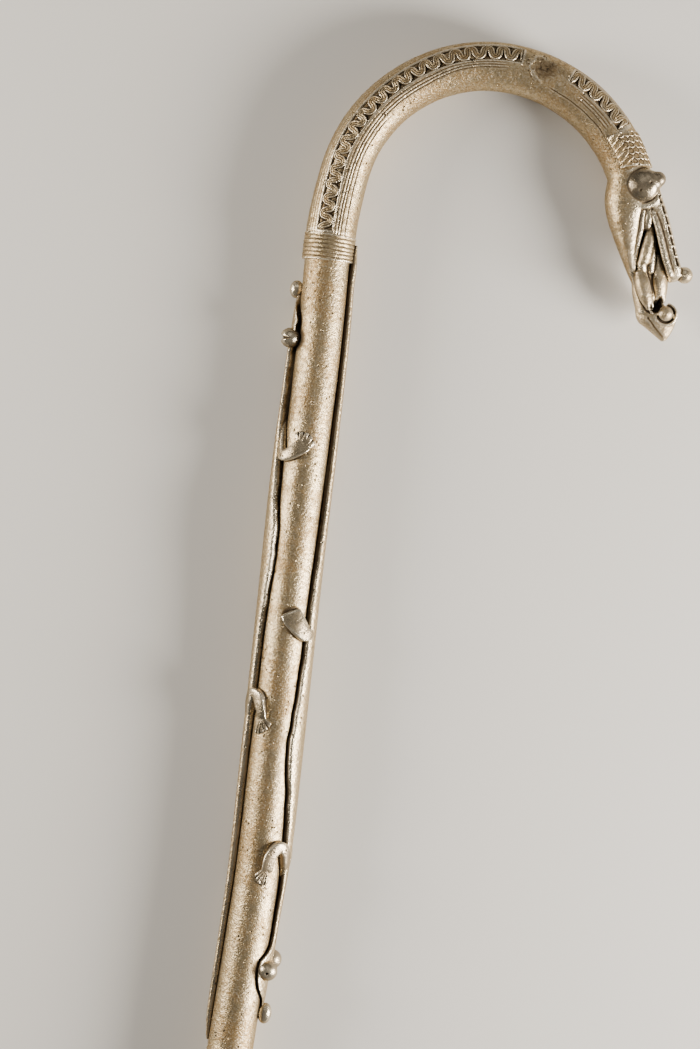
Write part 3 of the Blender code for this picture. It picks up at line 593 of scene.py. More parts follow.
def relief(along, around, half, rise, edge, undercut, columns, hatch=0.0):
    # A rounded bar carried along a path on the shaft. Its section is an arch, (1 - |t|^2.6)^(1/2.2) high,
    # from an edge that stands off the shaft, on a narrower stem whose root is sunk in the shaft. Hatching
    # is cut into its back along two slants, where sin^8 of the distance along each is high
    radius = shaftRadius
    stepAlong = np.gradient(along)
    stepRound = np.gradient(np.radians(around)) * radius
    size = np.hypot(stepAlong, stepRound)
    t = np.linspace(-1.0, 1.0, columns)
    arch = (1.0 - np.abs(t) ** 2.6) ** (1.0 / 2.2)
    across = half[:, None] * np.sin(t * math.pi / 2.0)[None, :]
    reach = radius + edge[:, None] + (rise - edge)[:, None] * arch[None, :]
    if hatch:
        for slant in (1.0, -1.0):
            reach = reach - hatch * np.sin((along[:, None] * 0.8 + slant * across) * 900.0) ** 8
    stem = np.maximum(half - undercut, np.where(undercut > 0.0, 0.35, 1.0) * half)[:, None]
    low = np.full_like(stem, radius - 0.0012)
    mid = radius + 0.55 * edge[:, None]
    across = np.concatenate([-stem, -stem, across, stem, stem], axis=1)
    reach = np.concatenate([low, mid, reach, mid, low], axis=1)
    place = along[:, None] - across * (stepRound / size)[:, None]
    angle = around[:, None] + np.degrees(across * (stepAlong / size)[:, None] / radius)
    return closedSkin(onStaff(place, angle, reach))


def ball(centre, along, up, sizes, rows=28, columns=44):
    # An egg: rings between two poles on the along axis, with its own radius on each axis
    side = np.cross(along, up)
    turn = np.linspace(0.0, math.pi, rows + 2)[1:-1, None, None]
    ring = np.linspace(0.0, 2.0 * math.pi, columns, endpoint=False)[None, :, None]
    points = centre - sizes[0] * np.cos(turn) * along + sizes[1] * np.sin(turn) * np.cos(ring) * up
    return closedSkin(points + sizes[2] * np.sin(turn) * np.sin(ring) * side)


def relaxedLine(rows, rounds):
    # A line of places with its corners softened: each place drawn to the mean of its neighbours
    rows = rows.copy()
    for _ in range(rounds):
        rows[:, 1:-1] += 0.5 * ((rows[:, 2:] + rows[:, :-2]) / 2.0 - rows[:, 1:-1])
    return rows


def press(points, normals, path, width, depth, space):
    # A groove: each point sinks along its normal by depth times e^(-(distance to the path / width)^2),
    # where path and distance are in a space of their own
    path = np.asarray(path)
    gap = np.full(len(points), 1e9)
    for a, b in zip(path[:-1], path[1:]):
        line = b - a
        share = np.clip(((space - a) @ line) / max(line @ line, 1e-18), 0.0, 1.0)
        gap = np.minimum(gap, np.linalg.norm(space - a - share[:, None] * line, axis=1))
    return points - normals * (depth * np.exp(-((gap / width) ** 2)))[:, None]


def markEye(croc, points, centre, ahead, outward, upper):
    # The mark on an eye: a wedge cut in from its outer edge, or a small square pit on its flat side
    away = points - centre
    along, out, face = away @ ahead * croc["tailward"], away @ outward, away[:, 2] * upper
    if croc["eyeMark"] == "slit":
        turn = np.degrees(np.arctan2(out, face))
        half = 0.0026 * np.clip((turn + 18.0) / 108.0, 0.001, 1.0) ** 1.3
        sunk = np.clip(1.0 - ((along - 0.0004) / half) ** 2, 0.0, 1.0) * (turn > -18.0) * (turn < 150.0)
    else:
        sunk = np.exp(-(((along + 0.0016) / 0.0009) ** 4) - ((out / 0.0009) ** 4)) * (face > 0.0)
    return centre + away * (1.0 - 0.3 * sunk)[:, None]


def foot(croc, side, wrist, tips, palm):
    # A foot is a fan from the wrist. Toe and gap come from a saw s that runs from -1 to 1 across each
    # toe: the toe ends at 1 - 0.14 s^4 of the way, and its back is sqrt(1 - s^4) high beyond the palm.
    # Painted shade lies in the slits between the toes
    size, toes = crocSizes, crocSizes["toes"]
    u = np.linspace(0.0, 1.0, 12 * toes + 1)[None, :]
    v = np.linspace(0.12, 1.0, 26)[:, None]
    ends = alongRows(u[0], tips)
    saw = 2.0 * (np.minimum(u * toes, toes - 1e-6) % 1.0) - 1.0
    saw[0, -1] = 1.0
    stretch = v * (1.0 - 0.14 * saw**4)
    place = wrist[0] + (ends[0] - wrist[0])[None, :] * stretch
    turn = wrist[1] + (ends[1] - wrist[1])[None, :] * stretch
    apart = smoothStep(v, palm, palm + 0.3)
    slit = saw**4 * apart
    back = np.sqrt(np.clip(1.0 - 0.97 * slit - 0.5 * (2.0 * u - 1.0) ** 8, 0.0, 1.0))
    rise = size["footRise"] + (size["toeTipRise"] - size["footRise"]) * v
    reach = shaftRadius + rise * (0.1 + 0.9 * back) * np.sqrt(1.0 - 0.9 * v**8)
    place, around = withSides(crocAlong(croc, place)), withSides(crocAround(croc, side, turn))
    low = np.full_like(v, shaftRadius - 0.001)
    dirt = withSides(size["slitDirt"] * slit * (np.abs(2.0 * u - 1.0) < 0.95), 0.0 * low)
    skin = closedSkin(onStaff(place, around, withSides(reach, low)))
    return skin, np.append(dirt, [0.0, 0.0])


def crocodile(croc):
    # Body, legs with feet, ball eyes and a ball on the snout; painted shade lies under the body's edges
    skins, bares, paintedShades = [], [], []

    def add(skin, bare, dirt=0.0):
        skins.append(skin)
        bares.append(np.full(len(skin[0]), bare))
        paintedShades.append(np.broadcast_to(dirt, len(skin[0])))

    fromSnout = np.concatenate([np.linspace(0.0, 0.125, 180), np.linspace(0.1256, croc["length"], 440)])
    middle, half, rise, edge, undercut = crocBody(croc, fromSnout)
    along = crocAlong(croc, fromSnout)
    if croc["bridge"]:
        low, high = croc["bridge"]
        undercut *= 1.0 - within(fromSnout, low - 0.002, low, high, high + 0.002)
    half = half * (1.0 + 0.05 * handmade(fromSnout * 150.0, 0.0, croc["angle"]))
    edge = edge * (1.0 + 0.25 * handmade(fromSnout * 260.0, 1.0, croc["angle"]))
    # Painted shade under the body's edge and on its stem, scaled by the crocodile's shade
    underEdgeShade = 0.6 * smoothStep(np.abs(np.linspace(-1.0, 1.0, 40)), 0.86, 0.99)
    underEdgeShade = croc["shade"] * np.tile(np.concatenate([[1.0, 1.0], underEdgeShade, [1.0, 1.0]]), len(along))
    body = relief(along, middle, half, rise, edge, undercut, 40, crocSizes["hatch"])
    add(body, 0.0, np.append(underEdgeShade, [0.0, 0.0]))
    t = np.linspace(0.0, 1.0, 64)
    ends = np.sqrt(np.clip(1.0 - np.abs(2.0 * t - 1.0) ** np.where(t < 0.5, 7.0, 18.0), 0.02, 1.0))
    for side in (1.0, -1.0):
        for limb in croc["limbs"]:
            path = alongRows(t, limb)
            path[:2] = relaxedLine(path[:2], 8)
            tall = path[3] * crocSizes["legRise"] * ends
            place, turn = crocAlong(croc, path[0]), crocAround(croc, side, path[1])
            stem = np.full_like(t, crocSizes["legStem"])
            add(relief(place, turn, path[2] * ends, tall, tall * 0.3, stem, 26), 0.65)
        for rows in croc["feet"]:
            skin, dirt = foot(croc, side, *rows)
            add(skin, 0.6, dirt)
    for side, eyeFrom in zip((croc["front"], -croc["front"]), croc["eyesFrom"]):
        eyeAt = crocAlong(croc, eyeFrom)
        heading = float(np.interp(eyeAt, lineAlong, lineHeading))
        ahead = np.array([math.sin(heading), math.cos(heading), 0.0])
        around = float(crocBody(croc, np.array([eyeFrom]))[0][0]) + side * croc["eyeSpread"]
        reach = shaftRadius + croc["eyeReach"]
        centre = onStaff(eyeAt, around, reach)
        up = onStaff(eyeAt, around, reach + 1.0) - centre
        points, quads, fans = ball(centre, ahead, up, (crocSizes["eye"],) * 3, 40, 64)
        outward = onStaff(eyeAt, math.copysign(90.0, croc["angle"]), 1.0) - onStaff(eyeAt, 90.0, 0.0)
        upper = 1.0 if math.cos(math.radians(around)) > 0.0 else -1.0
        add((markEye(croc, points, centre, ahead, outward, upper), quads, fans), 0.8)
    middleAtTip = float(crocBody(croc, np.array([0.0]))[0][0])
    small, long = croc["nostril"]
    centre = onStaff(croc["snoutAt"], middleAtTip, shaftRadius + croc["nostrilReach"])
    up = onStaff(croc["snoutAt"], middleAtTip, 1.0) - onStaff(croc["snoutAt"], middleAtTip, 0.0)
    add(ball(centre, ahead, up, (long, small, small)), 0.5)
    mesh = makeMesh(croc["name"], joinSkins(skins))
    finishPiece(croc["name"], mesh, np.concatenate(paintedShades), np.concatenate(bares), crocSizes["polish"])


along = np.concatenate(
    [np.linspace(0.0, 0.04, 90), np.linspace(0.041, 0.4, 120), np.linspace(0.401, 0.944, 540)]
)[:, None]
around = np.linspace(0.0, 360.0, shaftSizes["columns"], endpoint=False)[None, :]
finishRings("shaft", onStaff(along, around, shaftRadiusAt(along, around)), crocShadow(along, around))
crocodile(upperCroc)
crocodile(lowerCroc)
print("shaft and crocodiles made")

# Collar: rings laid by hand, each a little wavy
collarSizes = {"length": 0.018, "rings": 7, "rise": 0.002, "groove": 0.00055, "wave": 0.00035, "root": 0.0008}


def collar():
    size = collarSizes
    t = np.linspace(0.0, 1.0, 90)[:, None]
    around = np.linspace(0.0, 360.0, 180, endpoint=False)[None, :]
    bend = size["wave"] * handmade(np.cos(np.radians(around)) * 1.6 + 4.0 * t, np.sin(np.radians(around)) * 1.6, 3.0)
    rings = (t * size["rings"] + bend / size["length"] * size["rings"] * np.sin(math.pi * t)) % 1.0
    lift = np.sqrt(np.clip(1.0 - (2.0 * rings - 1.0) ** 2, 0.0, 1.0))
    crest = shaftRadius + size["rise"] - size["groove"] * (1.0 - lift)
    ends = np.minimum(smoothStep(t, -0.001, 0.03), smoothStep(1.0 - t, -0.001, 0.03))
    root = shaftRadius - size["root"]
    reach = root + (crest - root) * ends
    finishRings("collar", onStaff(staff["collarAt"] + t * size["length"], around, reach))


collar()

# Crook: the bent tube with its sunk bands, lines and casting flaw; places are metres past the collar.
# The radii go by shares of its length. The band's rows are (place, angle of its low edge, of its high
# edge), and the belly lines' are (place, how far in millimetres each line lies from the middle)
crookSizes = {
    "radii": [(0.0, 0.0164), (0.25, 0.0158), (0.75, 0.0158), (1.0, 0.0147)],
    "band": [
        (0.0, -3.6, 34.0), (0.03, -0.5, 37.5), (0.05, 2.5, 40.0), (0.1, 3.0, 41.5),
        (0.125, 5.8, 45.8), (0.15, 9.2, 52.5), (0.186, 13.0, 58.0), (0.218, 15.4, 65.0),
        (0.262, 15.4, 65.0),
    ],
    "bandStart": 0.0012,
    "bandStop": 0.186,
    "secondStart": 0.217,
    "secondStop": 0.2605,
    "bandDepth": 0.0013,
    "bellyLines": [
        (0.0, -2.4, -4.2, -6.0, -9.2), (0.05, -1.8, -3.9, -5.7, -8.1), (0.09, -1.2, -3.5, -5.3, -7.8),
        (0.12, -0.9, -2.8, -4.7, -7.4), (0.15, 1.4, -0.3, -2.0, -6.0), (0.186, 2.0, 0.4, -1.4, -5.5),
        (0.218, 2.1, 0.4, -1.6, -5.5), (0.262, 1.8, 0.2, -1.9, -4.9),
    ],
    "lineDepth": 0.00021,
    "lineWidth": 0.00052,
    "backLines": 3,
    "backGap": 8.6,
    "flawAt": 0.2015,
    "flawAngle": 16.0,
    "flawSize": 0.0088,
    "flawDepth": 0.0008,
    "flawRim": 0.0007,
    "flawRough": 0.00024,
    "flawDirt": 0.31,
    "lineWander": 0.00022,
    "uneven": 0.00012,
    "scaleStart": 0.26,
    "scaleStop": 0.283,
}
crookLength = staff["headAt"] - staff["crookAt"]


def crookRadiusAt(past):
    return readTable(past / crookLength, crookSizes["radii"])[0]


def bandAt(past):
    # The band's middle angle and half its width, in degrees
    low, high = readTable(past, crookSizes["band"])
    return (low + high) / 2.0, (high - low) / 2.0


def lineCut(away, width):
    # A scribed line: a narrow groove with a low burr on both sides
    return sum(
        share * np.exp(-(((away - shift * width) / width) ** 2))
        for share, shift in ((1.0, 0.0), (-0.5, 1.7), (-0.5, -1.7))
    )


def crookSink(past, angle):
    # How far the surface of one face sinks: the band's channel, the lines cut beside it, and the flaw
    size = crookSizes
    middle, half = bandAt(past)
    radius = crookRadiusAt(past)
    perMetre = math.pi / 180.0 * radius
    start, stop = size["bandStart"], size["bandStop"]
    first = within(past, start, start + 0.0008, stop - 0.001, stop)
    start, stop = size["secondStart"], size["secondStop"]
    second = within(past, start, start + 0.0012, stop - 0.001, stop)
    across = (angle - middle) * perMetre
    wall = fall(np.abs(across), half * perMetre - 0.0007, half * perMetre)
    sink = size["bandDepth"] * wall * np.maximum(first, second)
    wander = size["lineWander"] * handmade(past * 170.0, angle * 0.02, 5.0)
    near = fall(past, 0.17, size["bandStop"])
    far = within(past, 0.222, 0.232, 0.252, stop)
    inner = fall(past, 0.078, 0.098) + smoothStep(past, 0.204, 0.212)
    shown = [near + far, near + far, near + far, 1.2 * inner * fall(past, 0.254, 0.262)]
    for i, (line, strength) in enumerate(zip(readTable(past, size["bellyLines"]), shown)):
        away = radius * np.radians(angle) - radius * np.arcsin(line * 0.001 / radius) + wander * math.cos(2.0 * i)
        sink = sink + size["lineDepth"] * strength * lineCut(away, size["lineWidth"])
    for i in range(1, size["backLines"] + 1):
        at = middle + half + size["backGap"] * (i - 0.15)
        away = (angle - at) * perMetre + wander
        sink = sink + 0.7 * size["lineDepth"] * near * lineCut(away, size["lineWidth"])
    place = (angle - size["flawAngle"]) * perMetre
    swayed = 1.3 * handmade(past * 400.0, place * 400.0, 21.0)
    rough = handmade(past * 560.0 + swayed, place * 560.0 - swayed, 9.0)
    away = np.hypot(past - size["flawAt"], place * 1.2) * (1.0 + 0.16 * rough) / size["flawSize"]
    bowl = fall(away, 0.1, 1.0)
    rim = np.exp(-(((away - 1.1) / 0.2) ** 2)) * smoothStep(size["flawAt"] + 0.002 - past, 0.0, 0.006)
    sink = sink + size["flawDepth"] * bowl - size["flawRim"] * rim * (1.0 + 0.3 * rough)
    return sink + size["flawRough"] * fall(away, 0.9, 1.3) * rough


def faceAngle(around):
    # The angle on its own face, from -90 at the belly to 90 at the back, for both faces
    turned = (around + 180.0) % 360.0 - 180.0
    return np.where(np.abs(turned) > 90.0, np.sign(turned) * 180.0 - turned, turned)


def crook():
    size = crookSizes
    stretches = ((-0.012, 0.186, 222), (0.1864, 0.2185, 66), (0.2192, crookLength + 0.012, 76))
    past = np.concatenate([np.linspace(*stretch) for stretch in stretches])[:, None]
    face = np.concatenate([np.linspace(-90.0, -42.0, 14, endpoint=False), np.linspace(-42.0, 70.0, 86)])
    face = np.concatenate([face, np.linspace(70.0, 90.0, 9)[1:]])
    around = np.concatenate([face, 180.0 - face[::-1][1:-1]])[None, :]
    angle = faceAngle(around)
    reach = crookRadiusAt(past) - crookSink(np.maximum(past, 0.0), angle)
    reach = reach + size["uneven"] * handmade(past * 60.0, np.radians(around), 11.0)
    reach = reach - 0.0004 * fall(past, -0.0012, 0.001)
    reach = reach - 0.0009 * fall(past, -0.008, -0.004)
    reach = reach - 0.0024 * smoothStep(past, crookLength + 0.0045, crookLength + 0.01)
    points = onStaff(staff["crookAt"] + past, around, reach)
    fromFlaw = np.hypot(past - size["flawAt"], (angle - size["flawAngle"]) * 0.00027)
    dirt = size["flawDirt"] * fall(fromFlaw + 0.002 * handmade(past * 300.0, angle * 0.08, 3.0), 0.003, 0.012)
    finishRings("crook", points, dirt)


crook()

# Wave: a ribbon of three cords that swings from edge to edge of the band. The two waves have their
# pitch and the place of one outer bend
waveSizes = {
    "wave": (0.00952, 0.0025),
    "shortWave": (0.00895, 0.2213),
    "ribbon": 0.0041,
    "square": 0.0005,
    "lean": -0.1,
    "cord": 0.00069,
    "height": 0.0013,
    "margin": 0.0003,
    "root": 0.0008,
    "floorDirt": 0.25,
    "cordDirt": 0.06,
    "polish": -0.22,
}


def wave(name, start, stop, pitch, outerAt, face):
    # The height over the band's floor is that of the nearest of three cords, at a distance from the
    # ribbon's middle line: swing sin(q) across, where q grows by 2 pi in one pitch along the band, and
    # along minus square sin(2 q), which makes the legs steeper and the bends rounder
    size = waveSizes
    line = np.linspace(start - 0.004, stop + 0.004, int((stop - start + 0.008) / pitch * 24))
    q = math.pi / 2.0 + 2.0 * math.pi * (line - outerAt) / pitch
    swing = np.sin(q) * (1.0 + 0.07 * handmade(q * 0.8, 0.0, 13.0))
    line = line - size["square"] * np.sin(2.0 * q) + 0.0004 * handmade(q * 0.6, 0.0, 17.0)
    line = line + size["lean"] * 0.0032 * swing
    past = np.linspace(start - 0.0005, stop + 0.0005, int((stop - start) / 0.00027))[:, None]
    middle, half = bandAt(past)
    radius = crookRadiusAt(past)
    perMetre = math.pi / 180.0 * radius
    reachAcross = half * perMetre - size["margin"]
    t = np.linspace(-1.0, 1.0, 47)[None, :]
    across = t * reachAcross
    widest = swing[None, :] * (reachAcross - size["ribbon"] / 2.0)
    nearest = np.full(across.shape, 1.0)
    for i in range(len(q) - 1):
        rows = np.abs(past[:, 0] - line[i]) < 0.0045
        if not rows.any():
            continue
        step = line[i + 1] - line[i]
        rise = widest[rows][:, i + 1 : i + 2] - widest[rows][:, i : i + 1]
        fromAlong, fromAcross = past[rows] - line[i], across[rows] - widest[rows][:, i : i + 1]
        share = np.clip((fromAlong * step + fromAcross * rise) / (step * step + rise * rise), 0.0, 1.0)
        gap = np.hypot(fromAlong - share * step, fromAcross - share * rise)
        nearest[rows] = np.minimum(nearest[rows], gap)
    cordGap = size["ribbon"] / 2.0 - size["cord"]
    fromCord = np.where(nearest < cordGap / 2.0, nearest, np.abs(nearest - cordGap))
    cord = np.sqrt(np.clip(1.0 - (fromCord / size["cord"]) ** 2, 0.0, 1.0))
    bare = smoothStep(nearest, size["ribbon"] / 2.0 - 0.0003, size["ribbon"] / 2.0 + 0.0003)
    fade = smoothStep(1.0 - np.abs(t), 0.0, 0.03)
    fade = fade * within(past, start - 0.0004, start + 0.0006, stop - 0.0006, stop + 0.0004)
    floor = radius - crookSizes["bandDepth"]
    top = floor - 0.00015 + (0.0002 + size["height"] * (0.55 + 0.45 * cord) * (1.0 - bare)) * fade
    angle = middle + across / perMetre
    low = np.broadcast_to(floor - size["root"], past.shape)
    ring = withSides(angle)
    reach = withSides(top, low)
    around = ring if face > 0 else 180.0 - ring
    points = onStaff(staff["crookAt"] + past, around, reach)
    dirt = np.zeros(ring.shape)
    # Painted shade on the band's floor beside the ribbon, and a little in the grooves between its cords
    dirt[:, 1:-1] = size["floorDirt"] * bare + size["cordDirt"] * (1.0 - cord) * (1.0 - bare)
    finishRings(name, points, dirt, size["polish"])


for face, side in ((1, "Upper"), (-1, "Under")):
    for name, band in (("wave", "band"), ("shortWave", "second")):
        start, stop = crookSizes[band + "Start"] + 0.0006, crookSizes[band + "Stop"] - 0.0006
        wave(name + side, start, stop, *waveSizes[name], face)
print("crook and waves made")

# Scales: a sleeve round the end of the crook, from the belly's edge of one face to that of the other
scaleSizes = {
    "radius": 0.0149,
    "pitch": 0.004,
    "row": 0.0037,
    "rise": 0.001,
    "rim": 0.00046,
    "from": -21.0,
    "slant": 0.0058,
    "leaf": 0.0085,
    "leafPitch": 0.0043,
    "dirt": 0.22,
    "polish": -0.3,
    "rows": 110,
    "columns": 290,
}


def scales():
    # Each scale is a dished disc with a raised rim, and lies over the next one towards the head. Along
    # both edges of the sleeve lies a row of slanting leaves
    size = scaleSizes
    radius = size["radius"]
    stretch = crookSizes["scaleStop"] - crookSizes["scaleStart"]
    down = np.linspace(0.0, stretch, size["rows"])[:, None]
    wide = (90.0 - size["from"]) * math.pi / 180.0 * radius
    across = np.linspace(-wide, wide, size["columns"])[None, :]
    height = np.zeros((size["rows"], size["columns"]))
    bare = np.ones(height.shape, dtype=bool)
    disc = size["pitch"] * 0.64
    for row in range(-1, int(stretch / size["row"]) + 1):
        count = int(2.0 * wide / size["pitch"]) + 2
        for i in range(count):
            centreDown = (row + 0.35) * size["row"] + 0.0004 * math.sin(3.1 * i + 1.7 * row)
            centreAcross = (i - count / 2.0 + 0.5 * (row % 2)) * size["pitch"] + 0.0003 * math.sin(2.3 * i + row)
            gap = np.hypot((down - centreDown) * 0.92, across - centreAcross) / disc
            rim = np.exp(-(((gap - 0.86) / 0.15) ** 2))
            shape = 0.32 + 0.26 * (down - centreDown) / disc + size["rim"] / size["rise"] * rim
            mine = bare & (gap < 1.0)
            height = np.where(mine, shape, height)
            bare = bare & ~mine
    fromEdge = wide - np.abs(across)
    slant = ((down + 0.95 * fromEdge - 45.0 * fromEdge**2) / size["leafPitch"] + 0.12 * np.sign(across)) % 1.0
    leaf = 0.12 + 0.72 * np.sqrt(np.clip(1.0 - (2.0 * slant - 1.0) ** 2, 0.0, 1.0))
    leaf = leaf + 0.45 * np.exp(-(((slant - 0.55) / 0.25) ** 2) - ((fromEdge - 0.0013) / 0.0014) ** 2)
    leaf = leaf * np.sqrt(np.clip(fromEdge / 0.001, 0.0, 1.0))
    share = smoothStep(fromEdge - 0.35 * size["leafPitch"] * np.sin(2.0 * math.pi * slant), 0.0068, size["leaf"])
    height = leaf + (height - leaf) * share
    edgeRim = smoothStep(down, stretch - 0.0016, stretch - 0.0006)
    height = np.maximum(height, 0.75 * edgeRim)
    ends = smoothStep(down, 0.0, 0.0006)
    sides = smoothStep(fromEdge, 0.0, 0.0005)
    base = crookRadiusAt(crookSizes["scaleStart"] + down)
    top = base - 0.0004 + (0.0003 + size["rise"] * height) * ends * sides
    shift = size["slant"] * smoothStep(fromEdge, 0.0, wide)
    angle = across / radius * 180.0 / math.pi + 90.0
    low = np.broadcast_to(base - 0.0012, (size["rows"], 1))
    angle = np.broadcast_to(angle, height.shape)
    under = np.linspace(angle[0, -1], angle[0, 0] + 360.0, 30)[1:-1][None, :]
    under = np.broadcast_to(under, (size["rows"], 28))
    ring = np.concatenate([withSides(angle), under], axis=1)
    reach = np.concatenate([withSides(top, low), np.broadcast_to(low, under.shape)], axis=1)
    shift = np.concatenate([withSides(shift), np.zeros((1, 28))], axis=1)
    points = onStaff(staff["crookAt"] + crookSizes["scaleStart"] + down + shift, ring, reach)
    dirt = np.zeros(ring.shape)
    # Painted shade in the low parts of the scales and leaves
    dirt[:, 1 : size["columns"] + 1] = size["dirt"] * smoothStep(0.46 - height, 0.0, 0.3)
    finishRings("scales", points, dirt, size["polish"])


scales()
print("scales made")

# Head, in head parts of a millimetre: each jaw, and the wall inside the mouth, in rows of (forward, low,
# high, half width), and each lip and the web between them in rows of (forward, out, aside, radius)
headSizes = {
    "lowerJaw": [
        (-6.0, -12.0, 12.5, 12.5), (2.0, -13.0, 14.4, 14.3), (7.0, -14.0, 15.0, 14.8),
        (12.0, -16.0, 15.4, 15.0), (19.5, -18.4, 15.4, 15.0), (27.0, -19.0, 12.6, 14.4),
        (34.0, -18.8, 5.8, 13.4), (41.0, -17.9, 2.4, 12.2), (50.0, -16.6, -1.4, 10.8),
        (58.0, -15.2, -4.6, 9.3), (66.0, -13.8, -7.0, 7.6), (73.0, -12.3, -8.4, 6.0),
        (79.0, -11.0, -9.0, 3.2),
    ],
    "upperJaw": [
        (8.0, 1.0, 13.0, 11.0), (18.0, 3.0, 17.6, 13.0), (27.0, 5.0, 18.6, 12.8), (35.3, 8.7, 19.7, 11.4),
        (44.0, 9.0, 20.2, 10.2), (53.0, 9.2, 20.5, 9.3), (62.0, 9.4, 20.7, 8.5), (70.0, 10.6, 21.3, 7.7),
        (76.0, 11.2, 21.2, 6.4), (79.4, 11.8, 17.0, 3.6),
    ],
    "upperLip": [
        (33.4, 10.2, 10.6, 1.7), (40.0, 10.9, 10.3, 2.0), (48.0, 11.5, 9.6, 2.2), (62.0, 12.0, 8.1, 2.4),
        (74.0, 13.3, 6.3, 2.2),
    ],
    "lowerLip": [
        (31.0, 4.2, 10.4, 1.9), (41.0, 0.6, 8.0, 2.2), (52.0, -4.2, 6.9, 2.3), (62.0, -8.2, 5.9, 2.2),
        (68.0, -9.8, 5.0, 1.9),
    ],
    "web": [(29.0, 7.8, 8.5, 3.8), (35.5, 6.9, 8.3, 3.6), (42.0, 4.8, 7.4, 2.4)],
    "mouth": [
        (34.0, 1.0, 12.0, 4.0), (45.0, -2.0, 12.0, 3.2), (56.0, -6.0, 12.0, 3.0), (66.0, -9.0, 12.4, 2.6),
        (72.0, -9.6, 12.6, 1.6),
    ],
    "eyeAt": (15.0, 7.2),
    "eyeRadius": 10.7,
    "eyeHeight": 6.6,
    "neckAt": (13.8, 12.6),
    "neckRadius": 9.0,
    "knobAt": (13.2, 17.4),
    "knobRadius": 5.2,
    "lidAt": (16.2, 6.6),
    "lidRadius": 12.2,
    "lidAside": 11.9,
    "lidSize": 1.9,
    "nostrilAt": (76.6, 22.6),
    "nostrilRadius": 5.4,
    "pits": [(18.2, 4.6), (14.6, 12.2)],
    "dashes": 7,
    "dashesAt": 23.8,
    "dashPitch": 6.9,
    "dashLength": 4.2,
    "voxel": 0.0005,
}


def skinTube(rows, side=1.0, flat=1.0, rings=40, columns=22):
    # A tube on one side of the head through rows of (forward, out, aside, radius), with round ends where
    # its radius falls as a quarter circle
    rows = np.array(rows, dtype=float) * [1.0, 1.0, side, 1.0]
    steps = np.concatenate([[0.0], np.cumsum(np.linalg.norm(np.diff(rows[:, :3], axis=0), axis=1))])
    t = np.linspace(0.0, steps[-1], rings)
    u, v, w, radius = readTable(t, np.column_stack([steps, rows]))
    line = np.stack([u, v, w], axis=-1)
    ahead = np.gradient(line, axis=0)
    ahead /= np.linalg.norm(ahead, axis=1, keepdims=True)
    turns = np.radians(np.linspace(0.0, 84.0, 9))[1:]
    low = line[0] - ahead[0] * (radius[0] * np.sin(turns[::-1]))[:, None]
    high = line[-1] + ahead[-1] * (radius[-1] * np.sin(turns))[:, None]
    line = np.concatenate([low, line, high])
    radius = np.concatenate([radius[0] * np.cos(turns[::-1]), radius, radius[-1] * np.cos(turns)])
    ahead = np.concatenate([np.repeat(ahead[:1], 8, axis=0), ahead, np.repeat(ahead[-1:], 8, axis=0)])
    across = np.cross(ahead, [0.0, 0.0, 1.0])
    across /= np.linalg.norm(across, axis=1, keepdims=True)
    up = np.cross(across, ahead)
    ring = np.linspace(0.0, 2.0 * math.pi, columns, endpoint=False)[None, :, None]
    ring = np.cos(ring) * across[:, None] + np.sin(ring) * up[:, None] * flat
    points = line[:, None] + radius[:, None, None] * ring
    return closedSkin(onHead(points[..., 0], points[..., 1], points[..., 2]))


def headLoft(rows, power, rings=120, columns=72):
    # Ovals across the head: |x|^power + |y|^power = 1 between the low and high edges
    forward = np.linspace(rows[0][0], rows[-1][0], rings)
    low, high, half = readTable(forward, rows)
    turn = np.linspace(0.0, 2.0 * math.pi, columns, endpoint=False)[None, :]
    lift = np.sign(np.cos(turn)) * np.abs(np.cos(turn)) ** (2.0 / power)
    side = np.sign(np.sin(turn)) * np.abs(np.sin(turn)) ** (2.0 / power)
    out = (low + high)[:, None] / 2.0 + lift * (high - low)[:, None] / 2.0
    return closedSkin(onHead(forward[:, None], out, side * half[:, None]))


def headBall(forward, out, aside, radius, flat=1.0):
    part = staff["headPart"]
    centre = onHead(forward, out, aside)
    return ball(centre, headForward, headOut, (radius * part, radius * part, radius * part * flat))


def arcRows(centre, radius, aside, turns, size, count=24):
    # Rows for a tube that bends round a centre, between two turns in degrees from forward to out
    turn = np.radians(np.linspace(turns[0], turns[1], count))
    rows = [centre[0] + radius * np.cos(turn), centre[1] + radius * np.sin(turn)]
    return np.column_stack(rows + [np.full(count, aside), np.full(count, size)])


def fuse(name, skin, voxel, rounds):
    # Overlapping closed skins made one: remeshed as voxels, then softened
    mesh = makeMesh(name, skin)
    made = addObject(name, mesh)
    remesh = made.modifiers.new("fuse", "REMESH")
    remesh.mode = "VOXEL"
    remesh.voxel_size = voxel
    remesh.use_smooth_shade = True
    bpy.context.view_layer.update()
    fused = bpy.data.meshes.new_from_object(made.evaluated_get(bpy.context.evaluated_depsgraph_get()))
    bpy.data.objects.remove(made, do_unlink=True)
    bpy.data.meshes.remove(mesh)
    fused.name = name
    points, _, edges = readMesh(fused)
    for _ in range(rounds):
        points = relaxed(points, edges, 1, 0.55)
        points = relaxed(points, edges, 1, -0.56)
    movePoints(fused, relaxed(points, edges, 2, 0.5))
    return fused


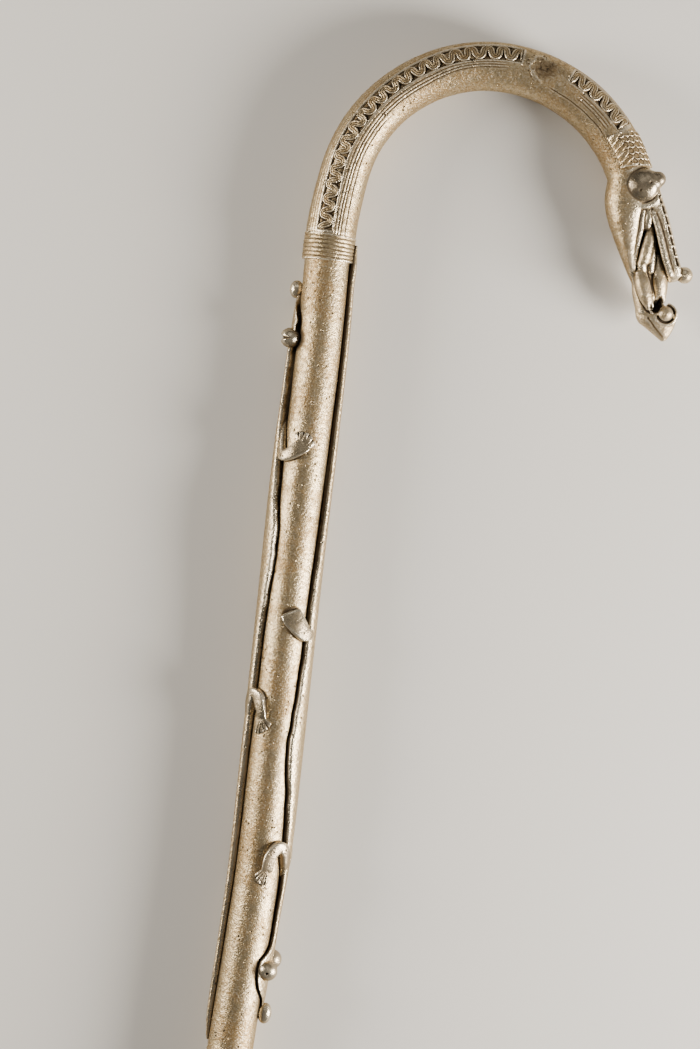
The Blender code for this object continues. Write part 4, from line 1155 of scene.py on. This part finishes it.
def carve(mesh, strokes):
    # Grooves drawn on the head from the side: each stroke is a path of (forward, out), with a width and
    # a depth in head parts, and cuts both faces, where they face sideways. Painted shade lies in it by its
    # last value
    dirt = np.zeros(len(mesh.vertices))
    for path, width, depth, dark in strokes:
        points, normals, _ = readMesh(mesh)
        forward, out, aside = headPlaces(points)
        facing = smoothStep(np.abs(normals[:, 2]), 0.15, 0.6)
        outer = smoothStep(np.abs(aside), 2.0, 3.5)
        part = staff["headPart"]
        moved = press(points, normals, path, width, depth * part, np.column_stack([forward, out]))
        sunk = np.linalg.norm(moved - points, axis=1) / (depth * part) * facing * outer
        dirt = np.maximum(dirt, dark * sunk)
        points += (moved - points) * (facing * outer)[:, None]
        movePoints(mesh, points)
    return dirt


def head():
    size = headSizes
    part = staff["headPart"]
    skins = [headLoft(size["lowerJaw"], 2.3), headLoft(size["upperJaw"], 3.4), headLoft(size["mouth"], 4.0)]
    skins.append(headBall(*size["nostrilAt"], 0.0, size["nostrilRadius"]))
    reach = staff["height"] / part + 0.3
    aside = reach - size["eyeHeight"]
    flat = size["eyeHeight"] / size["eyeRadius"]
    for side in (1.0, -1.0):
        skins.append(headBall(*size["eyeAt"], side * aside, size["eyeRadius"], flat))
        neck = [
            (*size["eyeAt"], aside, 0.92 * size["eyeRadius"]),
            (*size["neckAt"], aside, size["neckRadius"]),
            (*size["knobAt"], aside, size["knobRadius"]),
        ]
        skins.append(skinTube(neck, side, 0.72))
        skins.append(headBall(*size["knobAt"], side * aside, size["knobRadius"]))
        lid = arcRows(size["lidAt"], size["lidRadius"], size["lidAside"], (-80.0, 52.0), size["lidSize"])
        skins += [skinTube(rows, side) for rows in (lid, size["upperLip"], size["lowerLip"], size["web"])]
    mesh = fuse("head", joinSkins(skins), size["voxel"], 5)
    points, _, edges = readMesh(mesh)
    forward, out, _ = headPlaces(points)
    near = np.hypot(forward - size["eyeAt"][0] - 0.5, (out - size["eyeAt"][1] - 3.0) * 0.9)
    near = fall(near, 13.0, 17.0)[:, None]
    movePoints(mesh, points + near * (relaxed(points, edges, 12) - points))
    # The eye pits and the dashes on the upper jaw get painted shade in their grooves
    strokes = [([pit, (pit[0] + 0.2, pit[1])], 0.9, 0.7, 0.3) for pit in size["pits"]]
    for i in range(size["dashes"]):
        start = size["dashesAt"] + size["dashPitch"] * i
        high = readTable(np.array([start]), size["upperJaw"])[1][0]
        dash = [(start, high - 1.7), (start + size["dashLength"], high - 1.5)]
        strokes.append((dash, 0.75, 2.2, 1.6))
    dirt = carve(mesh, strokes)
    forward, out, away = headPlaces(readMesh(mesh)[0])
    floor, _, floorRadius = readTable(forward, size["lowerLip"])
    roof, _, roofRadius = readTable(forward, size["upperLip"])
    # A thin wall closes the inside of the mouth between the lips; it is painted shade, as dark as a hollow
    inside = smoothStep(out - floor - 0.7 * floorRadius, 0.0, 1.0) * within(forward, 41.0, 45.0, 70.0, 72.0)
    inside = inside * smoothStep(roof - 0.7 * roofRadius - out, 0.0, 1.0)
    dirt = np.maximum(dirt, 0.85 * inside)
    fromEye = np.minimum(
        np.hypot(forward - size["eyeAt"][0], out - size["eyeAt"][1]) - size["eyeRadius"],
        np.hypot(forward - size["knobAt"][0], out - size["knobAt"][1]) - size["knobRadius"],
    )
    bare = fall(fromEye, -0.6, 0.4) * smoothStep(np.abs(away), aside - 2.0, aside)
    fromTip = np.hypot(forward - size["nostrilAt"][0] - 1.0, out - size["nostrilAt"][1] - 1.0)
    bare = np.maximum(bare, 0.5 - 0.5 * smoothStep(fromTip, 0.6, 0.95 * size["nostrilRadius"]))
    low, high = readTable(np.clip(forward, -5.0, 78.0), size["lowerJaw"])[:2]
    # Silvery polish up the side of the lower jaw, clear of the bare metal: wear and painted sheen
    polish = 0.4 * smoothStep((out - low) / (high - low), 0.15, 0.65) * (1.0 - bare)
    finishPiece("head", mesh, dirt, bare, polish)


head()

# The small animal in the jaws, in head parts: its skull in rows as the jaws, the rest as the lips
preySizes = {
    "skull": [
        (85.0, -10.6, -2.0, 3.6), (90.0, -12.6, 3.0, 5.4), (96.0, -13.5, 9.0, 6.5),
        (100.0, -12.8, 11.0, 6.8), (104.0, -9.6, 11.2, 6.4), (108.5, -6.0, 9.0, 5.2),
        (112.5, -2.9, 5.6, 3.5), (115.6, -0.6, 2.2, 1.2),
    ],
    "limbs": [
        [(43.0, 6.6, 5.4, 2.2), (49.0, 4.6, 7.2, 3.3), (58.0, 0.6, 7.6, 3.9), (62.0, -1.4, 7.0, 3.9)],
        [(60.0, -0.6, 7.0, 3.4), (65.0, -3.4, 6.6, 3.2), (69.0, -3.6, 5.8, 2.6)],
        [(50.0, 6.6, 4.4, 2.2), (56.0, 5.4, 5.0, 2.7), (63.0, 3.2, 5.2, 2.8), (69.5, 1.4, 5.0, 2.2)],
        [(70.8, -5.4, 5.4, 4.0), (77.0, -5.6, 7.0, 4.9), (85.0, -5.2, 7.6, 4.4), (92.0, -4.0, 7.0, 2.8)],
        [(90.0, -4.4, 7.2, 2.6), (95.2, -3.2, 6.6, 1.8)],
    ],
    "rump": [(63.0, 7.2, 0.0, 3.8), (70.0, 6.4, 0.0, 5.4), (78.0, 5.2, 0.0, 6.2), (88.0, 3.4, 0.0, 4.6)],
    "belly": [(58.0, 1.0, 0.0, 3.6), (70.0, -0.6, 0.0, 5.0), (84.0, -1.6, 0.0, 5.0), (92.0, -3.6, 0.0, 4.6)],
    "chest": [(73.0, -7.0, 0.0, 4.6), (84.0, -7.6, 0.0, 5.4), (94.0, -7.6, 0.0, 5.4)],
    "hollow": [(90.0, 3.6), (92.6, 1.2), (93.6, -1.2)],
    "lips": [(99.0, -6.4), (106.0, -3.4), (113.0, 0.4)],
    "claws": 3,
    "eyeAt": (98.6, 5.2, 5.6),
    "eyeRadius": 5.1,
    "voxel": 0.00044,
    "polish": 0.3,
}


def prey():
    size = preySizes
    skins = [headLoft(size["skull"], 2.2)]
    skins += [skinTube(size[name], flat=1.15) for name in ("rump", "belly", "chest")]
    forward, out, aside = size["eyeAt"]
    for side in (1.0, -1.0):
        brow = arcRows((forward + 0.6, out + 0.2), 6.6, 5.0, (150.0, -30.0), 1.2)
        skins += [skinTube(rows, side) for rows in size["limbs"]]
        skins.append(headBall(forward, out, side * aside, size["eyeRadius"]))
        skins.append(skinTube(brow, side))
    mesh = fuse("prey", joinSkins(skins), size["voxel"], 4)
    # Grooves for the brow, the hollow by the eye, the lips and the claws, with painted shade in them
    strokes = [(arcRows((forward, out), 5.6, 0.0, (150.0, -80.0), 0.0)[:, :2], 0.75, 0.9, 0.6)]
    strokes += [(size["hollow"], 2.3, 3.6, 1.0), (size["lips"], 0.8, 0.35, 0.3)]
    for i in range(size["claws"]):
        strokes.append(([(92.6, -5.6 + 1.3 * i), (96.2, -4.8 + 1.2 * i)], 0.32, 0.5, 0.4))
    dirt = carve(mesh, strokes)
    finishPiece("prey", mesh, dirt, None, size["polish"])


prey()
print("head and prey made")

# Floor, lights and camera: the camera looks straight down, turned so that the shaft leans as photographed
stageSizes = {
    "floor": 3.0,
    "floorColour": (0.72, 0.71, 0.69, 1.0),
    "floorRoughness": 0.9,
    "skyColour": (0.96, 0.95, 0.94, 1.0),
    "skyStrength": 0.09,
    "lights": [
        ("left light", (-1.5, 0.1, 0.52), 0.7, 40.0, (1.0, 0.91, 0.78)),
        ("right light", (1.5, -0.25, 0.52), 0.7, 98.0, (1.0, 0.93, 0.83)),
        ("top light", (-0.1, 1.3, 1.5), 1.2, 4.0, (1.0, 0.96, 0.9)),
    ],
    "viewCentre": (0.0229, 0.7487),
    "viewHeight": 0.6766,
    "viewTurn": 9.12,
    "cameraHeight": 3.0,
}


def stage():
    size = stageSizes
    half = size["floor"] / 2.0
    corners = [(-half, -half, 0.0), (half, -half, 0.0), (half, half, 0.0), (-half, half, 0.0)]
    mesh = bpy.data.meshes.new("floor")
    mesh.from_pydata(corners, [], [(0, 1, 2, 3)])
    floor = addObject("floor", mesh)
    tree = Tree("pale_floor")
    tree.give("Base Color", size["floorColour"])
    tree.give("Roughness", size["floorRoughness"])
    mesh.materials.append(tree.material)


def light(name, place, aim, width, power, colour):
    lamp = bpy.data.lights.new(name, "AREA")
    lamp.shape, lamp.size, lamp.energy, lamp.color = "DISK", width, power, colour
    item = addObject(name, lamp)
    item.location = place
    item.rotation_euler = (Vector(aim) - Vector(place)).to_track_quat("-Z", "Y").to_euler()


stage()
viewX = stageSizes["viewCentre"][0] + footEnd[0]
viewY = stageSizes["viewCentre"][1] + footEnd[1]
aim = (viewX, viewY, 0.0)
for name, place, width, power, colour in stageSizes["lights"]:
    light(name, (viewX + place[0], viewY + place[1], place[2]), aim, width, power, colour)
world = bpy.data.worlds.new("studio")
world.use_nodes = True
sky = world.node_tree.nodes["Background"].inputs
sky["Color"].default_value = stageSizes["skyColour"]
sky["Strength"].default_value = stageSizes["skyStrength"]
bpy.context.scene.world = world

camera = bpy.data.cameras.new("camera")
camera.sensor_fit = "AUTO"
camera.sensor_width = 36.0
camera.lens = 36.0 * (stageSizes["cameraHeight"] - staff["height"]) / stageSizes["viewHeight"]
camera.clip_end = 20.0
cameraItem = addObject("camera", camera)
cameraItem.location = (viewX, viewY, stageSizes["cameraHeight"])
cameraItem.rotation_euler = (0.0, 0.0, math.radians(stageSizes["viewTurn"]))
bpy.context.scene.camera = cameraItem
print("stage set")
